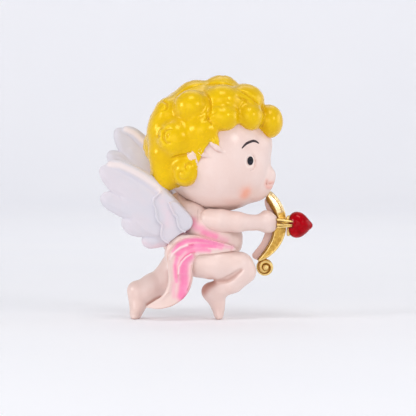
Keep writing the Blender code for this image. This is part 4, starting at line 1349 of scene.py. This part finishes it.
def main():
    head = make_head_clay()
    hair = make_hair_clay()
    torso = make_torso_clay()
    right_arm, left_arm = make_right_arm_clay(), make_left_arm_clay()
    right_leg, left_leg = make_right_leg_clay(), make_left_leg_clay()
    wing = make_wing_clay()
    bow, arrow, heart = make_bow_clay(), make_arrow_clay(), make_heart_clay()

    cheeks = lay_on(head, [CHEEK])
    cheeks = np.concatenate([cheeks, mirror_face(cheeks)])

    def paint_head(points):
        gap = np.min([((points - c) ** 2 * (1, 0.3, 0.7)).sum(axis=1) for c in cheeks], axis=0)
        blush = 0.65 * np.exp(-gap / 1.8 ** 2) + 0.4 * np.exp(-gap / 3.6 ** 2)
        jaw = 0.3 * np.exp(-((points[:, 2] - 39.0) / 2.2) ** 2) * smooth_step(2, 8, points[:, 0])
        across = mirror_face(points)
        near = np.where((across[:, 1] < points[:, 1])[:, None], across, points)
        aside = np.abs((points - HEAD_MIDDLE) @ (math.sin(HEAD_TURN), math.cos(HEAD_TURN), 0))
        mouth = 1 - smooth_step(4.2, 5.6, aside)
        lip = mouth * tint(near, LIP_STROKES)
        # the mouth's own drawn lines, and painted shade in the eye crease
        drawn = np.maximum(mouth * tint(near, MOUTH_LINES), 0.85 * stroke(near, EYE_CREASE, 0.3))
        # painted highlight on the rim round the eye socket
        ring = np.hypot((near[:, 0] - EYE[0]) / EYE_HOLE[0], (near[:, 2] - EYE[1]) / EYE_HOLE[1])
        ring = np.exp(-((ring - 1) / 0.2) ** 2)
        spill = 1 - smooth_step(-0.5, 0.5, hair.at(points))
        # painted shade where the head meets the torso and arms, with the drawn lines added
        return {"blush": np.maximum(blush, jaw), "lip": lip, "spill": spill, "pale": ring,
                "seam": np.maximum(seam_of(points, torso, right_arm, left_arm), drawn)}

    def paint_hair(points):
        near = points[:, 1] < 0
        patch = np.hypot((points[:, 0] + 4.9) / 1.7, (points[:, 2] - 53.8) / 1.6)
        rim = line_gap(points, [(-3.4, 52.6), (-2.6, 50.0), (-2.6, 47.5), (-3.6, 45.4)])
        bare = np.maximum(1.4 - patch, 1.0 - rim / 0.7) * near
        edge = np.exp(-(head.at(points) / 0.5) ** 2) * (line_gap(points, FRINGE[1:-1]) < 1.6)
        return {"bare": np.clip(bare, 0, 1.2), "edge": edge}

    def paint_torso(points):
        pink = tint(points, BELLY_PINK + PINK_STROKES) * (np.abs(points[:, 1]) > 2)
        # painted shade in the fold behind the arm
        crease = stroke(points, [(-2.9, 36.4), (-3.1, 34.4), (-2.9, 32.4)], 0.5) * (np.abs(points[:, 1]) > 4)
        # painted shade where the head and legs touch
        seam = 0.7 * seam_of(points, head, right_leg, left_leg)
        return {"pink": pink, "seam": np.maximum(0.8 * crease, seam)}

    # painted shade where other castings touch
    def paint_limb(*others):
        return lambda points: {"seam": seam_of(points, *others)}

    # painted shade from a stroke table, and where the other leg touches
    def paint_leg(shade_strokes, *others):
        return lambda points: {"wash": tint(points, shade_strokes), "seam": 0.8 * seam_of(points, *others)}

    def paint_wing(points):
        # painted highlight along the leading edge, fading out towards the root
        cream = stroke(points, LEADING_EDGE, 1.1) * (1 - smooth_step(-16.5, -11.5, points[:, 0]))
        low = stroke(points, [(-20.5, 25.2), (-17.5, 24.0), (-13.5, 24.8)], 1.5)
        root = stroke(points, [(-14.5, 38.5), (-12.5, 36), (-12.5, 32)], 2.6)
        return {"cream": cream, "rose": np.maximum(low, 0.6 * root)}

    def paint_bow(points):
        radius, angle = bow_place(points[:, 0], points[:, 2])
        inner = bow_inner(angle)
        in_limb = np.hypot(points[:, 0] - SCROLL[0], points[:, 2] - SCROLL[1]) > 2.9
        flesh = in_limb & (radius < inner - 0.12)
        # painted shade along the bow's inner edge
        wash = np.exp(-((radius - inner - 0.2) / 0.28) ** 2) * in_limb
        # painted highlight on the outer facet of the upper limb
        shine = smooth_step(14, 20, angle) * smooth_step(-0.2, 0.2, radius - bow_ridge(angle))
        return {"flesh": flesh, "wash": wash, "pale": shine * (points[:, 1] < 0.5)}

    def paint_gold(points):
        none = 0 * points[:, 0]
        # painted shade where the arrow meets the hand, the bow and the heart
        return {"flesh": none, "pale": none, "wash": seam_of(points, right_arm, bow, heart, reach=0.35)}

    flesh, gold, white = flesh_paint("flesh_limbs"), gold_paint(), wing_paint()
    for name, clay, paint, material, slot, node in (
            ("cherub_head", head, paint_head, flesh_paint("flesh_face", face=True), "flesh", "head"),
            ("curly_hair", hair, paint_hair, hair_paint(), "hair", "hair"),
            ("round_torso", torso, paint_torso, flesh_paint("flesh_belly", pinks=True), "flesh", "torso"),
            ("near_arm", right_arm, paint_limb(head, bow, arrow), flesh, "flesh", "right_arm"),
            ("far_arm", left_arm, paint_limb(head, torso, arrow), flesh, "flesh", "left_arm"),
            ("front_leg", right_leg, paint_leg(FRONT_LEG_SHADE_AND_SOLE_LINE, left_leg), flesh, "flesh", "right_leg"),
            ("rear_leg", left_leg, paint_leg(REAR_LEG_SHADE_AND_SOLE_LINE, right_leg), flesh, "flesh", "left_leg"),
            ("golden_bow", bow, paint_bow, gold, "gold", "bow"),
            ("gold_arrow", arrow, paint_gold, gold, "gold", "arrow_shaft"),
            ("red_heart", heart, paint_limb(arrow), heart_paint(), "heart", "arrow_heart")):
        finish_piece(make_mesh(name, *shaped(clay, paint)), material, slot, node)
    points, faces, values = shaped(wing, paint_wing)
    finish_piece(make_mesh("near_wing", points, faces, values), white, "wing", "right_wing")
    far_wing = make_mesh("far_wing", lift_left(points), faces[:, ::-1], values)
    finish_piece(far_wing, white, "wing", "left_wing")
    finish_piece(make_sash_piece([torso, left_leg, right_leg]), sash_paint(), "sash", "sash")
    add_face_paint(head)
    steel = steel_paint()
    for node in ("neck_dowel", "right_wing_pin", "left_wing_pin"):
        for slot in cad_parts[node].material_slots:
            slot.material = steel


def make_sash_piece(body):
    points, faces, pink = make_drape(body)
    band_points, band_faces, band_pink = make_band(body)
    faces = np.concatenate([faces, band_faces + len(points)])
    points = np.concatenate([points, band_points])
    # painted shade where the cloth touches the body
    seam = seam_of(points, *body, reach=0.35) * (1 - smooth_step(-6, -1, points[:, 0]) * (points[:, 1] < 0))
    # painted highlight on the fold ridges
    pale = tint(points, PAINTED_HIGHLIGHT_STROKES) * (points[:, 1] < -5)
    values = {"pink": np.concatenate([pink, band_pink]), "pale": pale, "seam": seam}
    obj = make_mesh("draped_sash", points, faces, values)
    normals = np.empty(points.size, np.float32)
    obj.data.vertex_normals.foreach_get("vector", normals)
    average = neighbours(faces, len(points))
    reach = np.maximum(mean_reach(points, faces), 0.01)
    set_values(obj.data, {"cavity": hollow(average, points, normals.reshape(-1, 3), reach, 6)})
    return obj


def mean_reach(points, faces):
    """The mean length of the edges at each point."""
    ends = np.concatenate([faces[:, [i - 1, i]] for i in range(4)])
    length = np.linalg.norm(points[ends[:, 0]] - points[ends[:, 1]], axis=1)
    total = np.bincount(ends.ravel(), np.repeat(length, 2), len(points))
    return total / np.maximum(np.bincount(ends.ravel(), minlength=len(points)), 1)


def add_face_paint(head):
    turn = np.linspace(0, 2 * np.pi, 40, endpoint=False)
    oval = np.stack([1.14 * np.cos(turn), 1.56 * np.sin(turn)], axis=1)
    eyes = np.concatenate(both_sides(head, [EYE]))
    brow = head.settle(lay_on(head, BROW))
    far_brow = head.settle(mirror_face(brow))
    black, brown = eye_paint(), brow_paint()
    for side, eye, line in (("near", eyes[0], brow), ("far", eyes[1], far_brow)):
        finish_piece(raised_patch(side + "_eye", head, eye, oval, 0.42), black, "flesh")
        mesh = brow_mesh(side + "_brow", head, line, (0.2, 0.38, 0.42, 0.42, 0.36, 0.16), 0.16)
        finish_piece(mesh, brown, "flesh")


# ---------------------------------------------------------------- studio


def make_stage():
    """A white paper cove: a round floor that curves up into a wall on every side."""
    floor, bend, wall = 950, 250, 600
    turns = [math.radians(90 * i / 12) for i in range(13)]
    cove = [(floor + bend * math.sin(turn), bend - bend * math.cos(turn)) for turn in turns]
    profile = [(300, 0), (600, 0), *cove, (floor + bend, wall)]
    sides = 96
    turns = [2 * math.pi * side / sides for side in range(sides)]
    points = [(r * math.cos(turn), r * math.sin(turn), z) for r, z in profile for turn in turns]
    middle = [(len(points), side, (side + 1) % sides) for side in range(sides)]
    faces = middle + ring_faces(len(profile) - 1, sides)
    cove = small_mesh("cove", np.array([*points, (0, 0, 0)]), faces)
    white = linear(247, 247, 250)
    paint = Paint("paper", white, Specular_IOR_Level=0.2, Emission_Color=white, Emission_Strength=0.05)
    tone = paint.noise(0.01, 2.0)
    paint.layer(tone, 0.3, 0.7, 0.3, linear(243, 244, 249))
    cove.data.materials.append(paint.finish(tone, 0.7, 0.7))


def aim(obj, place, target):
    """Puts a light or a camera at a place and turns it to a target."""
    obj.location = place
    obj.rotation_euler = (target - place).to_track_quat("-Z", "Y").to_euler()


# Softboxes: degrees to the right of the camera, degrees up, distance, width, watts.
STUDIO = [
    ("right", 42, 23, 0.7, 0.16, 0.78),
    ("side", 95, 14, 0.7, 0.4, 0.75),
    ("left", -64, 15, 0.7, 0.2, 1.2),
    ("front", -18, 8, 0.7, 0.4, 0.75),
    ("top", 0, 66, 0.7, 0.26, 1.05),
    ("behind", 180, 62, 0.8, 0.6, 0.25),
]


def add_light(name, place, target, size, power):
    light = bpy.data.lights.new(name, "AREA")
    light.size = size
    light.energy = power
    obj = placed(name, light)
    obj.visible_camera = False
    aim(obj, place, target)


def light_and_view():
    scene = bpy.context.scene
    scene.view_settings.view_transform = "Standard"
    world = bpy.data.worlds.new("studio")
    scene.world = world
    world.use_nodes = True
    back = world.node_tree.nodes["Background"]
    back.inputs["Color"].default_value = (0.95, 0.955, 1.0, 1)
    back.inputs["Strength"].default_value = 0.4
    figure = Vector((0, 0, 0.04))
    for name, azimuth, height, reach, size, power in STUDIO:
        turn, rise = math.radians(azimuth), math.radians(height)
        away = Vector((math.sin(turn) * math.cos(rise), -math.cos(turn) * math.cos(rise), math.sin(rise)))
        add_light(name, figure + reach * away, figure, size, power)
    add_light("wall", Vector((0, 0.5, 0.75)), Vector((0, 1.1, 0.1)), 0.6, 2.0)

    camera = bpy.data.cameras.new("camera")
    camera.sensor_width = 36
    camera.clip_start, camera.clip_end = 0.01, 10
    distance, frame_width, aside, height, tilt = 0.95, 0.1364, 0.00033, 0.455, math.radians(2.3)
    camera.lens = camera.sensor_width * distance / frame_width
    low, high = cad_box
    centre = Vector(((low.x + high.x) / 2 + aside, 0, height * high.z))
    scene.camera = placed("camera", camera)
    aim(scene.camera, centre + distance * Vector((0, -math.cos(tilt), math.sin(tilt))), centre)


main()
make_stage()
light_and_view()
